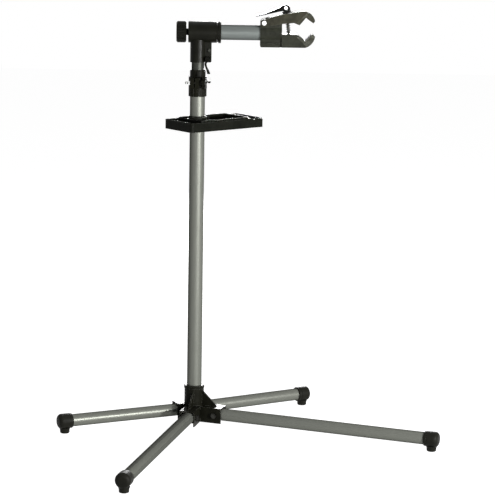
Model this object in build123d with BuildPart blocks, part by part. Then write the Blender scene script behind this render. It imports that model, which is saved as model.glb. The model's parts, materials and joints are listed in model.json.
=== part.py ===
from build123d import *
import os
from math import cos, radians, sin, tan

# Bicycle work stand: four folding legs, a telescoping mast with a tool tray,
# and a turning head that carries an arm with a quick-release jaw clamp.
# The origin is on the floor, on the mast axis. +Z is up and +X is along the arm.

os.makedirs("parts", exist_ok=True)

# ---------------------------------------------------------------- fits
running_gap = 0.08      # radial gap of a piece that turns or slides on another
seat_gap = 0.05         # radial gap of a piece that is pushed or screwed in for good
face_gap = 0.3          # gap between flat faces of pieces that move past each other

# ---------------------------------------------------------------- tubes
mast_diameter = 38.1
mast_wall = 1.6
column_diameter = 31.75
column_wall = 1.5
leg_diameter = 31.75
leg_wall = 1.4
arm_diameter = 38.1
arm_wall = 1.6

# ---------------------------------------------------------------- base
base_turn = -63.3               # heading of the base's front, measured from the arm
long_leg_spread = 41.0          # each long leg from the front heading
short_leg_spread = 92.4         # each short leg from the front heading
long_leg_reach = 664.5          # root to the end of the cap
short_leg_reach = 366.5
long_root_forward = 6.0         # where the long legs' axes cross, ahead of the mast axis
short_root_back = 29.0          # where the short legs' axes cross, behind it
leg_axis_height = 31.0
long_hinge_reach = 62.0         # root to the hinge bolt
short_hinge_reach = 22.0
mouth_length = 18.0             # hinge bolt to the channel's mouth
hub_bottom_height = 10.0
hub_socket_diameter = 51.0
hub_socket_height = 103.0
hub_lip_height = 8.0
hub_lip_proud = 1.2
channel_wall = 3.4
channel_play = 0.4              # leg to channel, each side and on top
hub_rib_thickness = 4.0
hub_rib_drop = 11.0             # rib top below the socket top
hub_rib_reach = 64.0
socket_floor_height = 53.0
core_pocket_radius = 13.0
hub_floor_thickness = 6.8       # web between the mast socket and the pocket under it
hinge_bolt_diameter = 8.0
mast_screw_depth = 21.0         # mast screw below the socket's top
mast_screw_diameter = 6.0
mast_screw_height = hub_socket_height - mast_screw_depth

# ---------------------------------------------------------------- legs
nose_play = 0.3                 # hinge plug's nose inside the leg's outline
tube_inset_length = 9.0         # leg tube's inner end, out from the hinge bolt
plug_spigot_length = 36.0
cap_wall = 2.4
cap_length = 42.0
cap_end_thickness = 6.0
cap_dome = 9.0
foot_radius = 11.0
foot_from_end = 18.0
foot_round = 3.0

# ---------------------------------------------------------------- mast and column
mast_top_height = 884.0
column_showing = 21.0           # bare column between the collar and the head
column_top_depth = 24.5         # column's top below the arm's axis
column_foot_thickness = 4.0
column_foot_spigot = 24.0

# ---------------------------------------------------------------- height collar
collar_turn = -12.0             # heading of the clamp bolt, from the arm
collar_diameter = 46.2
collar_neck_diameter = 40.0
collar_grip_length = 23.0       # collar below the mast's top
collar_rise = 43.0              # collar above the mast's top
collar_neck_length = 16.0
collar_split = 3.0
collar_bolt_offset = 29.5       # clamp bolt in front of the mast axis
collar_bolt_rise = 13.0         # clamp bolt above the mast's top
collar_bolt_diameter = 6.0
collar_ear_width = 24.0
collar_ear_height = 28.0
collar_ear_round = 5.0
collar_flutes = 16
collar_flute_depth = 0.9
collar_flute_end = 4.0          # flutes end below the mast's top
collar_rim_chamfer = 1.2
bush_depth = 34.0               # bush below the mast's top
bush_flange_thickness = 2.0
knob_neck_diameter = 14.0
knob_neck_length = 7.6
star_thickness = 8.2
star_lobes = 5
star_core_radius = 10.5
star_lobe_radius = 5.0
star_lobe_offset = 11.5
bolt_tail = 9.0                 # clamp bolt beyond its nut
collar_nut_flats = 10.0
collar_nut_thickness = 5.0
collar_bottom_height = mast_top_height - collar_grip_length
collar_top_height = mast_top_height + collar_rise
collar_shoulder_height = collar_top_height - collar_neck_length
collar_bolt_height = mast_top_height + collar_bolt_rise
collar_flute_top = mast_top_height - collar_flute_end

# ---------------------------------------------------------------- tray
tray_turn = 38.0                # heading of the tray's long side, from the arm
tray_length = 235.0
tray_width = 115.0
tray_height = 23.0
tray_below_collar = 62.0        # tray's rim below the collar
tray_mast_from_end = 62.0       # mast axis from the tray's short end
tray_wall = 2.5
tray_corner = 7.0
shelf_depth = 4.0               # end shelves below the rim
well_inset_left = 37.0          # well's wall from the tray's ends and sides
well_inset_right = 42.0
well_inset_side = 8.0
well_wall = 2.2
well_rise = 4.0                 # well's wall above the rim
tray_sleeve_diameter = 48.0
tray_sleeve_rise = 9.0          # mast sleeve above the rim
tray_bush_wall = 1.8
tray_bush_flange = 2.5
tool_hole_radii = (7.0, 5.0, 5.0, 7.0)
tray_screw_diameter = 6.0
tray_screw_head_radius = 7.0
tray_screw_head_length = 8.0
tray_screw_flutes = 12
tray_screw_flute_radius = 0.8
tray_rim_height = collar_bottom_height - tray_below_collar

# ---------------------------------------------------------------- head
sleeve_length = 76.5            # sleeve's bottom to the arm's axis
sleeve_diameter = 40.0
sleeve_split = 3.0
sleeve_bottom_height = collar_top_height + column_showing
arm_height = sleeve_bottom_height + sleeve_length
column_top_height = arm_height - column_top_depth
barrel_diameter = 54.2
barrel_back = 25.3              # barrel behind and ahead of the mast axis
barrel_front = 48.0
barrel_web = 17.0               # solid wall behind the arm
barrel_rim_chamfer = 1.5
ear_reach = 34.5
ear_width = 18.0
ear_height = 53.0
ear_root_depth = 4.0            # ear runs into the sleeve's wall
ear_round = 4.0
pinch_bolt_reach = 29.0
pinch_bolt_rise = 31.0          # pinch bolt above the sleeve's bottom
pinch_bolt_diameter = 5.0
pinch_head_diameter = 8.5
pinch_head_height = 4.0
pinch_nut_flats = 8.0
pinch_nut_thickness = 4.0
release_reach = 25.0
release_rise = 9.0              # release rod above the sleeve's bottom
release_rod_diameter = 6.0
release_eye_wall = 1.0
release_head_radius = 7.0
release_head_width = 12.0
release_pin_diameter = 3.0
release_nut_radius = 7.0
release_nut_thickness = 6.0
release_slot_steps = 5
release_lever_thickness = 3.6
release_lever_inset = 4.0       # lever's arm nearer the ears than its pin
release_lever_swing = 120.0
release_inner_line = (
    (-6.0, -4.0), (-7.2, -9.5), (-8.6, -12.5), (-7.4, -18.0), (-3.2, -28.5), (-0.6, -39.0), (1.6, -53.0),
)
release_tip = (5.4, -61.5)
release_outer_line = (
    (8.4, -55.0), (8.2, -46.0), (7.0, -38.0), (4.6, -30.5), (-1.4, -20.0), (-3.0, -12.0), (2.0, -4.0),
)
pinch_bolt_height = sleeve_bottom_height + pinch_bolt_rise
release_height = sleeve_bottom_height + release_rise

# ---------------------------------------------------------------- swivel knob
swivel_knob_diameter = 54.0
swivel_knob_length = 25.2
swivel_knob_gap = 4.8           # knob to the barrel
swivel_knob_chamfer = 3.0
swivel_cap_thickness = 6.0      # knob's closed end
swivel_neck_diameter = 17.0
swivel_flutes = 18
swivel_flute_radius = 2.4
stud_diameter = 10.0
stud_arm_length = 18.0

# ---------------------------------------------------------------- arm and clamp
# lengths run ahead from the clamp's rear; rises and drops are from the arm's axis
arm_end_gap = 2.0               # arm tube's inner end to the barrel's web
arm_plug_length = 24.0
arm_collar_diameter = 55.6
arm_collar_neck_diameter = 50.4
arm_collar_neck = 3.0
arm_collar_width = 10.0
clamp_rear = 157.6
clamp_width = 46.0
arm_insertion_length = 42.4     # arm tube inside the clamp
block_length = 54.8
clamp_drop = 34.8               # clamp's bottom
keel_width = 34.0
rail_height = 9.5
rail_round = 3.0
groove_width = 5.0              # gap between the rail and the lower jaw
tongue_rise = 27.5
jaw_flat_drop = 1.7
jaw_cheek = 4.6
core_floor = 9.3                # wall between the screw pockets and the arm's bore
core_pitch = 20.0
core_length = 15.0
core_width = 26.0
pivot_length = 9.3
pivot_rise = 26.5
pivot_diameter = 6.0
pivot_boss_radius = 9.3
pivot_head_diameter = 12.0
pivot_head_height = 3.0
pivot_nut_flats = 10.0
pivot_nut_thickness = 4.0
lower_v_length = 113.9          # bottom of the lower V
lower_v_drop = 18.8
lower_v_rear_slope = 39.3
lower_v_front_slope = 45.2
lower_tip_rise = 18.75
lower_tip_thickness = 8.5
lower_nose_bulge = 6.0
upper_v_length = 114.9          # top of the upper V
upper_v_rise = 41.4
upper_v_rear_slope = 50.4
upper_v_front_slope = 36.5
upper_tooth_drop = 19.2
upper_tip_drop = 14.0
upper_tip_thickness = 7.0
upper_nose_bulge = 8.0
upper_nose_round = 2.0
jaw_crest_length = 105.4
jaw_crest_rise = 56.7
jaw_under_rise = 27.8           # underside between the block and the tooth
jaw_under_slope_drop = 2.8
jaw_under_length = 84.4
jaw_under_gap = 2.0             # underside starts ahead of the block
jaw_channel_length = 92.4
jaw_fork_length = 22.3          # roof of the channel starts here
jaw_roof = 5.0
jaw_roof_rise = 4.0
pad_sink = 2.4
pad_margin = 3.0
pad_corner = 2.0
pad_ribs = 5
pad_rib_height = 0.6
clamp_screw_diameter = 5.0
clamp_screw_head_diameter = 8.5
clamp_screw_head_height = 4.0
arm_inner_end = barrel_web - barrel_back + arm_end_gap
arm_outer_end = clamp_rear + arm_insertion_length
block_front = clamp_rear + block_length
clamp_bottom_height = arm_height - clamp_drop
tongue_top_height = arm_height + tongue_rise
jaw_flat_height = arm_height - jaw_flat_drop
pivot_reach = clamp_rear + pivot_length
pivot_height = arm_height + pivot_rise
lower_v_reach = clamp_rear + lower_v_length
lower_v_height = arm_height - lower_v_drop
upper_v_reach = clamp_rear + upper_v_length
upper_v_height = arm_height + upper_v_rise
jaw_crest_reach = clamp_rear + jaw_crest_length
jaw_crest_height = arm_height + jaw_crest_rise
jaw_under_height = arm_height + jaw_under_rise
jaw_under_rear = block_front + jaw_under_gap
jaw_under_front = clamp_rear + jaw_under_length
jaw_channel_end = clamp_rear + jaw_channel_length
jaw_fork_end = clamp_rear + jaw_fork_length

# ---------------------------------------------------------------- clamp rod and cam
rod_length_ahead = 72.7         # rod axis at the lower jaw's flat
rod_lean = 7.5                  # the rod leans back to the arm
rod_diameter = 6.0
rod_seat = 52.2                 # upper jaw's seat, up the rod from the flat
rod_slot_length = 14.0
rod_slot_shift = 0.6
rod_slot_play = 1.0
seat_behind = 11.5
seat_ahead = 12.0
seat_step = 1.9                 # upper jaw's top above its seat
seat_step_run = 0.5
saddle_thickness = 2.1
saddle_length = 22.4
saddle_width = 30.0
saddle_rear_height = 4.8
saddle_front_height = 7.9
saddle_crown_radius = 24.0
cam_radius = 10.5
cam_offset = 1.5                # cam's centre below its pin when locked
cam_width = 28.0
cam_slot_width = 7.6
cam_travel = 10.0               # cam block's travel down the rod
cam_clearance = 1.2             # slot beyond the rod's end
barrel_nut_diameter = 9.0
rod_past_nut = 5.5
rod_nut_depth = 18.0            # rod nut's face below the flat
rod_nut_thickness = 5.0
rod_nut_flats = 10.0
rod_nut_pocket_radius = 7.5
washer_thickness = 1.2
washer_radius = 7.5
spot_face_depth = 1.0
lever_top_line = (
    (-75.0, -19.4), (-58.0, -16.0), (-43.8, -10.8), (-29.7, -4.9), (-15.6, 1.0), (-7.2, 6.4),
)
lever_under_line = (
    (-8.0, -8.0), (-16.9, -9.6), (-29.6, -12.8), (-43.7, -16.0), (-60.0, -19.8), (-75.0, -22.6),
)
lever_arm_width = 24.0
spring_wire = 2.2
spring_radius = 4.7
spring_turns = 8
rod_reach = clamp_rear + rod_length_ahead


# ---------------------------------------------------------------- planes
def level(height, turn=0.0):
    """Horizontal plane at a height, its x along a heading."""
    heading = (cos(radians(turn)), sin(radians(turn)), 0)
    return Plane(origin=(0, 0, height), x_dir=heading, z_dir=(0, 0, 1))


def ahead(turn, distance, height, aside=0.0):
    """Upright plane that faces along a heading, its y up."""
    c, s = cos(radians(turn)), sin(radians(turn))
    origin = (c * distance - s * aside, s * distance + c * aside, height)
    return Plane(origin=origin, x_dir=(-s, c, 0), z_dir=(c, s, 0))


def beside(turn, height=0.0, distance=0.0, aside=0.0):
    """Upright plane that holds a heading: its x along the heading, its y up."""
    c, s = cos(radians(turn)), sin(radians(turn))
    origin = (c * distance - s * aside, s * distance + c * aside, height)
    return Plane(origin=origin, x_dir=(c, s, 0), z_dir=(s, -c, 0))


def write(builder, name):
    """Label a finished piece and write its STEP file."""
    builder.part.label = name
    export_step(builder.part, "parts/" + name + ".step")


# ---------------------------------------------------------------- shared fasteners
def hex_nut(plane, across_flats, thickness, bore):
    """Hexagon nut that stands on a plane."""
    with BuildPart() as nut:
        with BuildSketch(plane):
            RegularPolygon(across_flats / 2, 6, major_radius=False)
            Circle(bore / 2 + seat_gap, mode=Mode.SUBTRACT)
        extrude(amount=thickness)
    return nut


def socket_bolt(plane, head_diameter, head_height, diameter, length):
    """Button-head bolt: the head stands on the plane, the shank runs below it."""
    with BuildPart() as bolt:
        with BuildSketch(plane):
            Circle(head_diameter / 2)
        extrude(amount=head_height)
        chamfer(bolt.faces().sort_by(plane_axis(plane))[-1].edges(), head_height / 4)
        with BuildSketch(plane.offset(head_height)):
            RegularPolygon(head_diameter / 4, 6)
        extrude(amount=-head_height / 2, mode=Mode.SUBTRACT)
        with BuildSketch(plane):
            Circle(diameter / 2)
        extrude(amount=-length)
    return bolt


def plane_axis(plane):
    """Axis along a plane's normal."""
    return Axis(plane.origin, plane.z_dir)


# ---------------------------------------------------------------- leg layout
class Leg:
    """Where one leg leaves the hub and how far it reaches."""

    def __init__(self, name, spread, root, hinge, reach):
        self.name = name
        self.heading = base_turn + spread
        self.root_x = root * cos(radians(base_turn))
        self.root_y = root * sin(radians(base_turn))
        self.hinge = hinge
        self.mouth = hinge + mouth_length
        self.reach = reach

    def shift(self, plane):
        """Carry a plane from the mast axis to the leg's root."""
        return Plane(
            origin=plane.origin + Vector(self.root_x, self.root_y, 0),
            x_dir=plane.x_dir,
            z_dir=plane.z_dir,
        )

    def across(self, distance):
        """Plane square to the leg at a distance from its root."""
        return self.shift(ahead(self.heading, distance, leg_axis_height))

    def along(self, distance=0.0, aside=0.0):
        """Upright plane through the leg's axis, or beside it."""
        return self.shift(beside(self.heading, leg_axis_height, distance, aside))


long_legs = [
    Leg("front_left", long_leg_spread, long_root_forward, long_hinge_reach, long_leg_reach),
    Leg("front_right", -long_leg_spread, long_root_forward, long_hinge_reach, long_leg_reach),
]
short_legs = [
    Leg("rear_left", short_leg_spread, -short_root_back, short_hinge_reach, short_leg_reach),
    Leg("rear_right", -short_leg_spread, -short_root_back, short_hinge_reach, short_leg_reach),
]
legs = long_legs + short_legs

leg_radius = leg_diameter / 2
pocket_radius = leg_radius + channel_play
channel_half = pocket_radius + channel_wall
channel_top = leg_axis_height + channel_half
mast_radius = mast_diameter / 2
column_radius = column_diameter / 2
socket_radius = hub_socket_diameter / 2


# ---------------------------------------------------------------- base hub
def add_channel(leg):
    """Box round the inner end of a leg, later hollowed."""
    with BuildSketch(leg.across(0)) as section:
        with Locations((0, (channel_half + hub_bottom_height - leg_axis_height) / 2)):
            Rectangle(2 * channel_half, channel_top - hub_bottom_height)
    extrude(section.sketch, amount=leg.mouth)


def cut_channel(leg):
    """Room for the leg to lie in and to fold down out of."""
    below = leg_axis_height - hub_bottom_height + 1
    past = leg.mouth + 2
    with BuildSketch(leg.along()) as room:
        with Locations((leg.hinge, 0)):
            Circle(pocket_radius)
        with BuildLine():
            Polyline(
                (leg.hinge, pocket_radius), (past, pocket_radius), (past, -below),
                (leg.hinge - pocket_radius, -below), (leg.hinge - pocket_radius, 0),
                (leg.hinge, 0), close=True,
            )
        make_face()
    extrude(room.sketch, amount=pocket_radius, both=True, mode=Mode.SUBTRACT)


def add_rib(leg):
    """Upright web from the mast socket down to the channel."""
    rib_top = hub_socket_height - hub_rib_drop - leg_axis_height
    roof = channel_half - 1
    with BuildSketch(leg.along()) as web:
        with BuildLine():
            Polyline(
                (0, roof), (hub_rib_reach, roof), (socket_radius - long_root_forward, rib_top),
                (0, rib_top), close=True,
            )
        make_face()
    extrude(web.sketch, amount=hub_rib_thickness / 2, both=True)


with BuildPart() as base_hub:
    for each in legs:
        add_channel(each)
    with BuildSketch(level(hub_bottom_height)):
        Circle(socket_radius)
    extrude(amount=hub_socket_height - hub_bottom_height)
    with BuildSketch(level(hub_socket_height)):
        Circle(socket_radius + hub_lip_proud)
    extrude(amount=-hub_lip_height)
    for each in long_legs:
        add_rib(each)
    with BuildSketch(level(socket_floor_height)):
        Circle(mast_radius + seat_gap)
    extrude(amount=hub_socket_height, mode=Mode.SUBTRACT)
    for each in legs:
        cut_channel(each)
        with BuildSketch(each.along(each.hinge)):
            Circle(hinge_bolt_diameter / 2 + seat_gap)
        extrude(amount=channel_half, both=True, mode=Mode.SUBTRACT)
    with BuildSketch(level(hub_bottom_height, base_turn)):
        with Locations((core_pocket_radius * 0.5, 0)):
            Circle(core_pocket_radius)
    extrude(amount=socket_floor_height - hub_bottom_height - hub_floor_thickness, mode=Mode.SUBTRACT)
    with BuildSketch(ahead(base_turn + 180, 0, mast_screw_height)):
        Circle(mast_screw_diameter / 2 + seat_gap)
    extrude(amount=hub_socket_diameter, mode=Mode.SUBTRACT)
    socket_rim = base_hub.edges().group_by(Axis.Z)[-1].sort_by(SortBy.LENGTH)[-1]
    chamfer(socket_rim, hub_lip_proud)
write(base_hub, "base_hub")

# hinge bolts: through both cheeks of a long channel, into the core of a short one
bolt_head_height = 4.5
hinge_bolt_head = 13.0
hinge_nut_thickness = 6.5
with BuildPart() as leg_hinge_bolts:
    for each in long_legs:
        outward = 1 if each.heading > base_turn else -1
        seat = each.along(each.hinge, outward * channel_half)
        if outward > 0:
            seat = Plane(origin=seat.origin, x_dir=seat.x_dir, z_dir=-seat.z_dir)
        bolt_length = 2 * channel_half + hinge_nut_thickness + 1.5
        add(socket_bolt(seat, hinge_bolt_head, bolt_head_height, hinge_bolt_diameter, bolt_length).part)
    for each in short_legs:
        rearward = 1 if each.heading > base_turn else -1
        seat = each.along(each.hinge, rearward * channel_half)
        if rearward > 0:
            seat = Plane(origin=seat.origin, x_dir=seat.x_dir, z_dir=-seat.z_dir)
        bolt_length = 2 * channel_half - 1
        add(socket_bolt(seat, hinge_bolt_head, bolt_head_height, hinge_bolt_diameter, bolt_length).part)
write(leg_hinge_bolts, "leg_hinge_bolts")

with BuildPart() as leg_hinge_nuts:
    for each in long_legs:
        inward = -1 if each.heading > base_turn else 1
        seat = each.along(each.hinge, inward * channel_half)
        if inward > 0:
            seat = Plane(origin=seat.origin, x_dir=seat.x_dir, z_dir=-seat.z_dir)
        add(hex_nut(seat, hinge_bolt_head, hinge_nut_thickness, hinge_bolt_diameter).part)
write(leg_hinge_nuts, "leg_hinge_nuts")

mast_screw_seat = ahead(base_turn + 180, socket_radius, mast_screw_height)
mast_screw_length = socket_radius - mast_radius + mast_wall - running_gap
mast_screw = socket_bolt(mast_screw_seat, 10.0, 3.2, mast_screw_diameter, mast_screw_length)
write(mast_screw, "mast_screw")


# ---------------------------------------------------------------- legs
def leg_tube(leg):
    """Round tube from beside the hinge bolt to the foot."""
    inner_end = leg.hinge + tube_inset_length
    with BuildPart() as tube:
        with BuildSketch(leg.across(inner_end)):
            Circle(leg_radius)
            Circle(leg_radius - leg_wall, mode=Mode.SUBTRACT)
        extrude(amount=leg.reach - cap_end_thickness - inner_end)
    write(tube, leg.name + "_leg_tube")


def leg_plug(leg):
    """Moulded hinge end: a rounded nose, and a spigot inside the tube."""
    nose = leg_radius - nose_play
    spigot = leg_radius - leg_wall - seat_gap
    with BuildPart() as plug:
        with BuildSketch(leg.across(leg.hinge - nose)):
            Circle(nose)
        extrude(amount=nose + tube_inset_length)
        with BuildSketch(leg.along()):
            with Locations((leg.hinge, 0)):
                Circle(nose)
            with Locations((leg.hinge + tube_inset_length / 2, 0)):
                Rectangle(tube_inset_length, 2 * nose)
        extrude(amount=nose, both=True, mode=Mode.INTERSECT)
        with BuildSketch(leg.across(leg.hinge + tube_inset_length)):
            Circle(spigot)
        extrude(amount=plug_spigot_length)
        with BuildSketch(leg.along(leg.hinge)):
            Circle(hinge_bolt_diameter / 2 + running_gap)
        extrude(amount=nose, both=True, mode=Mode.SUBTRACT)
    write(plug, leg.name + "_leg_plug")


def leg_cap(leg):
    """Rubber cap with a domed end and a round foot under it."""
    outer = leg_radius + cap_wall
    bore_end = leg.reach - cap_end_thickness
    with BuildPart() as cap:
        with BuildSketch(leg.across(leg.reach - cap_length)):
            Circle(outer)
        extrude(amount=cap_length)
        heading = Axis((0, 0, 0), leg.across(0).z_dir)
        fillet(cap.faces().sort_by(heading)[-1].edges(), cap_dome)
        chamfer(cap.faces().sort_by(heading)[0].edges(), cap_wall * 0.6)
        foot_place = leg.across(leg.reach - foot_from_end).origin
        with BuildSketch(Plane(origin=(foot_place.X, foot_place.Y, 0))):
            Circle(foot_radius)
        extrude(amount=leg_axis_height)
        fillet(cap.faces().sort_by(Axis.Z)[0].edges(), foot_round)
        with BuildSketch(leg.across(leg.reach - cap_length)):
            Circle(leg_radius + seat_gap)
        extrude(amount=bore_end - leg.reach + cap_length, mode=Mode.SUBTRACT)
    write(cap, leg.name + "_leg_cap")


for each in legs:
    leg_tube(each)
    leg_plug(each)
    leg_cap(each)


# ---------------------------------------------------------------- mast and column
with BuildPart() as lower_tube:
    with BuildSketch(level(socket_floor_height)):
        Circle(mast_radius)
        Circle(mast_radius - mast_wall, mode=Mode.SUBTRACT)
    extrude(amount=mast_top_height - socket_floor_height)
    with BuildSketch(ahead(base_turn + 180, 0, mast_screw_height)):
        Circle(mast_screw_diameter / 2 + seat_gap)
    extrude(amount=mast_diameter, mode=Mode.SUBTRACT)
write(lower_tube, "lower_tube")

column_foot_height = socket_floor_height + face_gap
column_bottom_height = column_foot_height + column_foot_thickness
with BuildPart() as upper_tube:
    with BuildSketch(level(column_bottom_height)):
        Circle(column_radius)
        Circle(column_radius - column_wall, mode=Mode.SUBTRACT)
    extrude(amount=column_top_height - column_bottom_height)
write(upper_tube, "upper_tube")

with BuildPart() as upper_tube_foot:
    with BuildSketch(level(column_foot_height)):
        Circle(mast_radius - mast_wall - running_gap)
    extrude(amount=column_foot_thickness)
    with BuildSketch(level(column_bottom_height)):
        Circle(column_radius - column_wall - seat_gap)
    extrude(amount=column_foot_spigot)
write(upper_tube_foot, "upper_tube_foot")


# ---------------------------------------------------------------- height collar
bush_radius = mast_radius - mast_wall - seat_gap
collar_radius = collar_diameter / 2
ear_middle_height = (collar_shoulder_height + collar_shoulder_height - collar_ear_height) / 2
collar_bolt_plane = ahead(collar_turn, 0, collar_bolt_height, -collar_bolt_offset)

with BuildPart() as height_collar:
    with BuildSketch(level(collar_bottom_height)):
        Circle(collar_radius)
        for step in range(collar_flutes):
            angle = collar_turn + (step + 0.5) * 360 / collar_flutes
            rim = collar_radius + collar_flute_depth
            with Locations((rim * cos(radians(angle)), rim * sin(radians(angle)))):
                Circle(2 * collar_flute_depth, mode=Mode.SUBTRACT)
    extrude(amount=collar_flute_top - collar_bottom_height)
    with BuildSketch(level(collar_flute_top)):
        Circle(collar_radius)
    extrude(amount=collar_shoulder_height - collar_flute_top)
    with BuildSketch(level(collar_shoulder_height)):
        Circle(collar_neck_diameter / 2)
    extrude(amount=collar_top_height - collar_shoulder_height)
    chamfer(height_collar.edges().group_by(Axis.Z)[-1], collar_rim_chamfer)
    with BuildSketch(ahead(collar_turn, -collar_ear_width / 2, ear_middle_height)):
        ear_front = -collar_bolt_offset - collar_bolt_diameter / 2 - collar_ear_round
        with Locations(((ear_front - mast_radius) / 2, 0)):
            RectangleRounded(-ear_front - mast_radius + 2, collar_ear_height, collar_ear_round / 3)
    extrude(amount=collar_ear_width)
    with BuildSketch(level(collar_bottom_height)):
        Circle(mast_radius + seat_gap)
    extrude(amount=mast_top_height - collar_bottom_height, mode=Mode.SUBTRACT)
    with BuildSketch(level(mast_top_height)):
        Circle(bush_radius + seat_gap)
    extrude(amount=collar_top_height - mast_top_height, mode=Mode.SUBTRACT)
    with BuildSketch(level(mast_top_height + 1, collar_turn)):
        with Locations((0, -collar_bolt_offset)):
            Rectangle(collar_split, 2 * collar_radius)
    extrude(amount=collar_top_height - mast_top_height, mode=Mode.SUBTRACT)
    with BuildSketch(collar_bolt_plane):
        Circle(collar_bolt_diameter / 2 + seat_gap)
    extrude(amount=collar_ear_width, both=True, mode=Mode.SUBTRACT)
write(height_collar, "height_collar")

with BuildPart() as collar_bush:
    with BuildSketch(level(mast_top_height - bush_depth)):
        Circle(bush_radius)
    extrude(amount=collar_top_height - mast_top_height + bush_depth)
    with BuildSketch(level(collar_top_height)):
        Circle(collar_neck_diameter / 2 - 1)
    extrude(amount=bush_flange_thickness)
    with BuildSketch(level(mast_top_height - bush_depth)):
        Circle(column_radius + running_gap)
    extrude(amount=collar_top_height, mode=Mode.SUBTRACT)
write(collar_bush, "collar_bush")

ear_half = collar_ear_width / 2
collar_bolt_left = -ear_half - collar_nut_thickness - bolt_tail
knob_left = ear_half + face_gap
star_left = knob_left + knob_neck_length
knob_right = star_left + star_thickness
with BuildPart() as collar_bolt:
    with BuildSketch(ahead(collar_turn, collar_bolt_left, collar_bolt_height, -collar_bolt_offset)):
        Circle(collar_bolt_diameter / 2)
    extrude(amount=knob_right - 3 - collar_bolt_left)
    chamfer(collar_bolt.edges(), collar_bolt_diameter / 8)
write(collar_bolt, "collar_bolt")

collar_nut = hex_nut(
    ahead(collar_turn, -ear_half - collar_nut_thickness, collar_bolt_height, -collar_bolt_offset),
    collar_nut_flats, collar_nut_thickness, collar_bolt_diameter,
)
write(collar_nut, "collar_nut")

with BuildPart() as collar_knob:
    with BuildSketch(ahead(collar_turn, knob_left, collar_bolt_height, -collar_bolt_offset)):
        Circle(knob_neck_diameter / 2)
    extrude(amount=knob_neck_length)
    with BuildSketch(ahead(collar_turn, star_left, collar_bolt_height, -collar_bolt_offset)):
        Circle(star_core_radius)
        with PolarLocations(star_lobe_offset, star_lobes, start_angle=90):
            Circle(star_lobe_radius)
    extrude(amount=star_thickness)
    with BuildSketch(ahead(collar_turn, knob_left, collar_bolt_height, -collar_bolt_offset)):
        Circle(collar_bolt_diameter / 2 + running_gap)
    extrude(amount=knob_right - 2.5 - knob_left, mode=Mode.SUBTRACT)
write(collar_knob, "collar_knob")


# ---------------------------------------------------------------- tool tray
tray_floor_height = tray_rim_height - tray_height
shelf_top_height = tray_rim_height - shelf_depth
well_top_height = tray_rim_height + well_rise
tray_middle = tray_length / 2 - tray_mast_from_end
well_left = -tray_mast_from_end + well_inset_left
well_right = tray_length - tray_mast_from_end - well_inset_right
well_middle = (well_left + well_right) / 2
well_length = well_right - well_left
well_width = tray_width - 2 * well_inset_side
tray_bush_radius = mast_radius + running_gap + tray_bush_wall
sleeve_top_height = tray_rim_height + tray_sleeve_rise


def tray_block(height, top, length, width, corner, middle, mode=Mode.ADD):
    """Round-cornered block in the tray's own heading."""
    with BuildSketch(level(height, tray_turn)) as outline:
        with Locations((middle, 0)):
            RectangleRounded(length, width, corner)
    extrude(outline.sketch, amount=top - height, mode=mode)


with BuildPart() as tool_tray:
    tray_block(tray_floor_height, tray_rim_height, tray_length, tray_width, tray_corner, tray_middle)
    tray_block(
        shelf_top_height, tray_rim_height + 1, tray_length - 2 * tray_wall, tray_width - 2 * tray_wall,
        tray_corner - tray_wall, tray_middle, Mode.SUBTRACT,
    )
    tray_block(
        tray_floor_height - 1, shelf_top_height - tray_wall, tray_length - 2 * tray_wall,
        tray_width - 2 * tray_wall, tray_corner - tray_wall, tray_middle, Mode.SUBTRACT,
    )
    tray_block(
        tray_floor_height, well_top_height, well_length, well_width, tray_corner - tray_wall, well_middle,
    )
    tray_block(
        tray_floor_height + tray_wall, well_top_height + 1, well_length - 2 * well_wall,
        well_width - 2 * well_wall, tray_corner - tray_wall - well_wall, well_middle, Mode.SUBTRACT,
    )
    with BuildSketch(level(tray_floor_height)):
        Circle(tray_sleeve_diameter / 2)
    extrude(amount=sleeve_top_height - tray_floor_height)
    with BuildSketch(level(tray_floor_height)):
        Circle(tray_bush_radius + running_gap)
    extrude(amount=tray_height + tray_sleeve_rise, mode=Mode.SUBTRACT)
    hole_pitch = (tray_width - 2 * tray_corner) / len(tool_hole_radii)
    shelf_middles = (
        (well_left - tray_mast_from_end) / 2,
        (well_right + tray_length - tray_mast_from_end) / 2,
    )
    for shelf_middle in shelf_middles:
        with BuildSketch(level(shelf_top_height, tray_turn)):
            for place, hole_radius in enumerate(tool_hole_radii):
                with Locations((shelf_middle, (place - 1.5) * hole_pitch)):
                    Circle(hole_radius)
        extrude(amount=-tray_wall, mode=Mode.SUBTRACT)
    screw_height = (shelf_top_height + sleeve_top_height) / 2
    with BuildSketch(ahead(tray_turn, 0, screw_height)):
        Circle(tray_screw_diameter / 2 + seat_gap)
    extrude(amount=tray_sleeve_diameter, mode=Mode.SUBTRACT)
write(tool_tray, "tool_tray")

with BuildPart() as tray_bush:
    with BuildSketch(level(tray_floor_height)):
        Circle(tray_bush_radius)
    extrude(amount=sleeve_top_height + face_gap - tray_floor_height)
    with BuildSketch(level(sleeve_top_height + face_gap)):
        Circle(tray_bush_radius + tray_bush_flange / 2)
    extrude(amount=tray_bush_flange)
    with BuildSketch(level(tray_floor_height)):
        Circle(mast_radius + running_gap)
    extrude(amount=2 * tray_height + tray_sleeve_rise, mode=Mode.SUBTRACT)
write(tray_bush, "tray_bush")

screw_inner_end = tray_bush_radius + 2 * running_gap + seat_gap
screw_head_start = tray_sleeve_diameter / 2 + 3
with BuildPart() as tray_screw:
    with BuildSketch(ahead(tray_turn, screw_inner_end, screw_height)):
        Circle(tray_screw_diameter / 2)
    extrude(amount=screw_head_start - screw_inner_end)
    with BuildSketch(ahead(tray_turn, screw_head_start, screw_height)):
        Circle(tray_screw_head_radius)
        with PolarLocations(tray_screw_head_radius, tray_screw_flutes):
            Circle(tray_screw_flute_radius, mode=Mode.SUBTRACT)
    extrude(amount=tray_screw_head_length)
write(tray_screw, "tray_screw")


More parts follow.
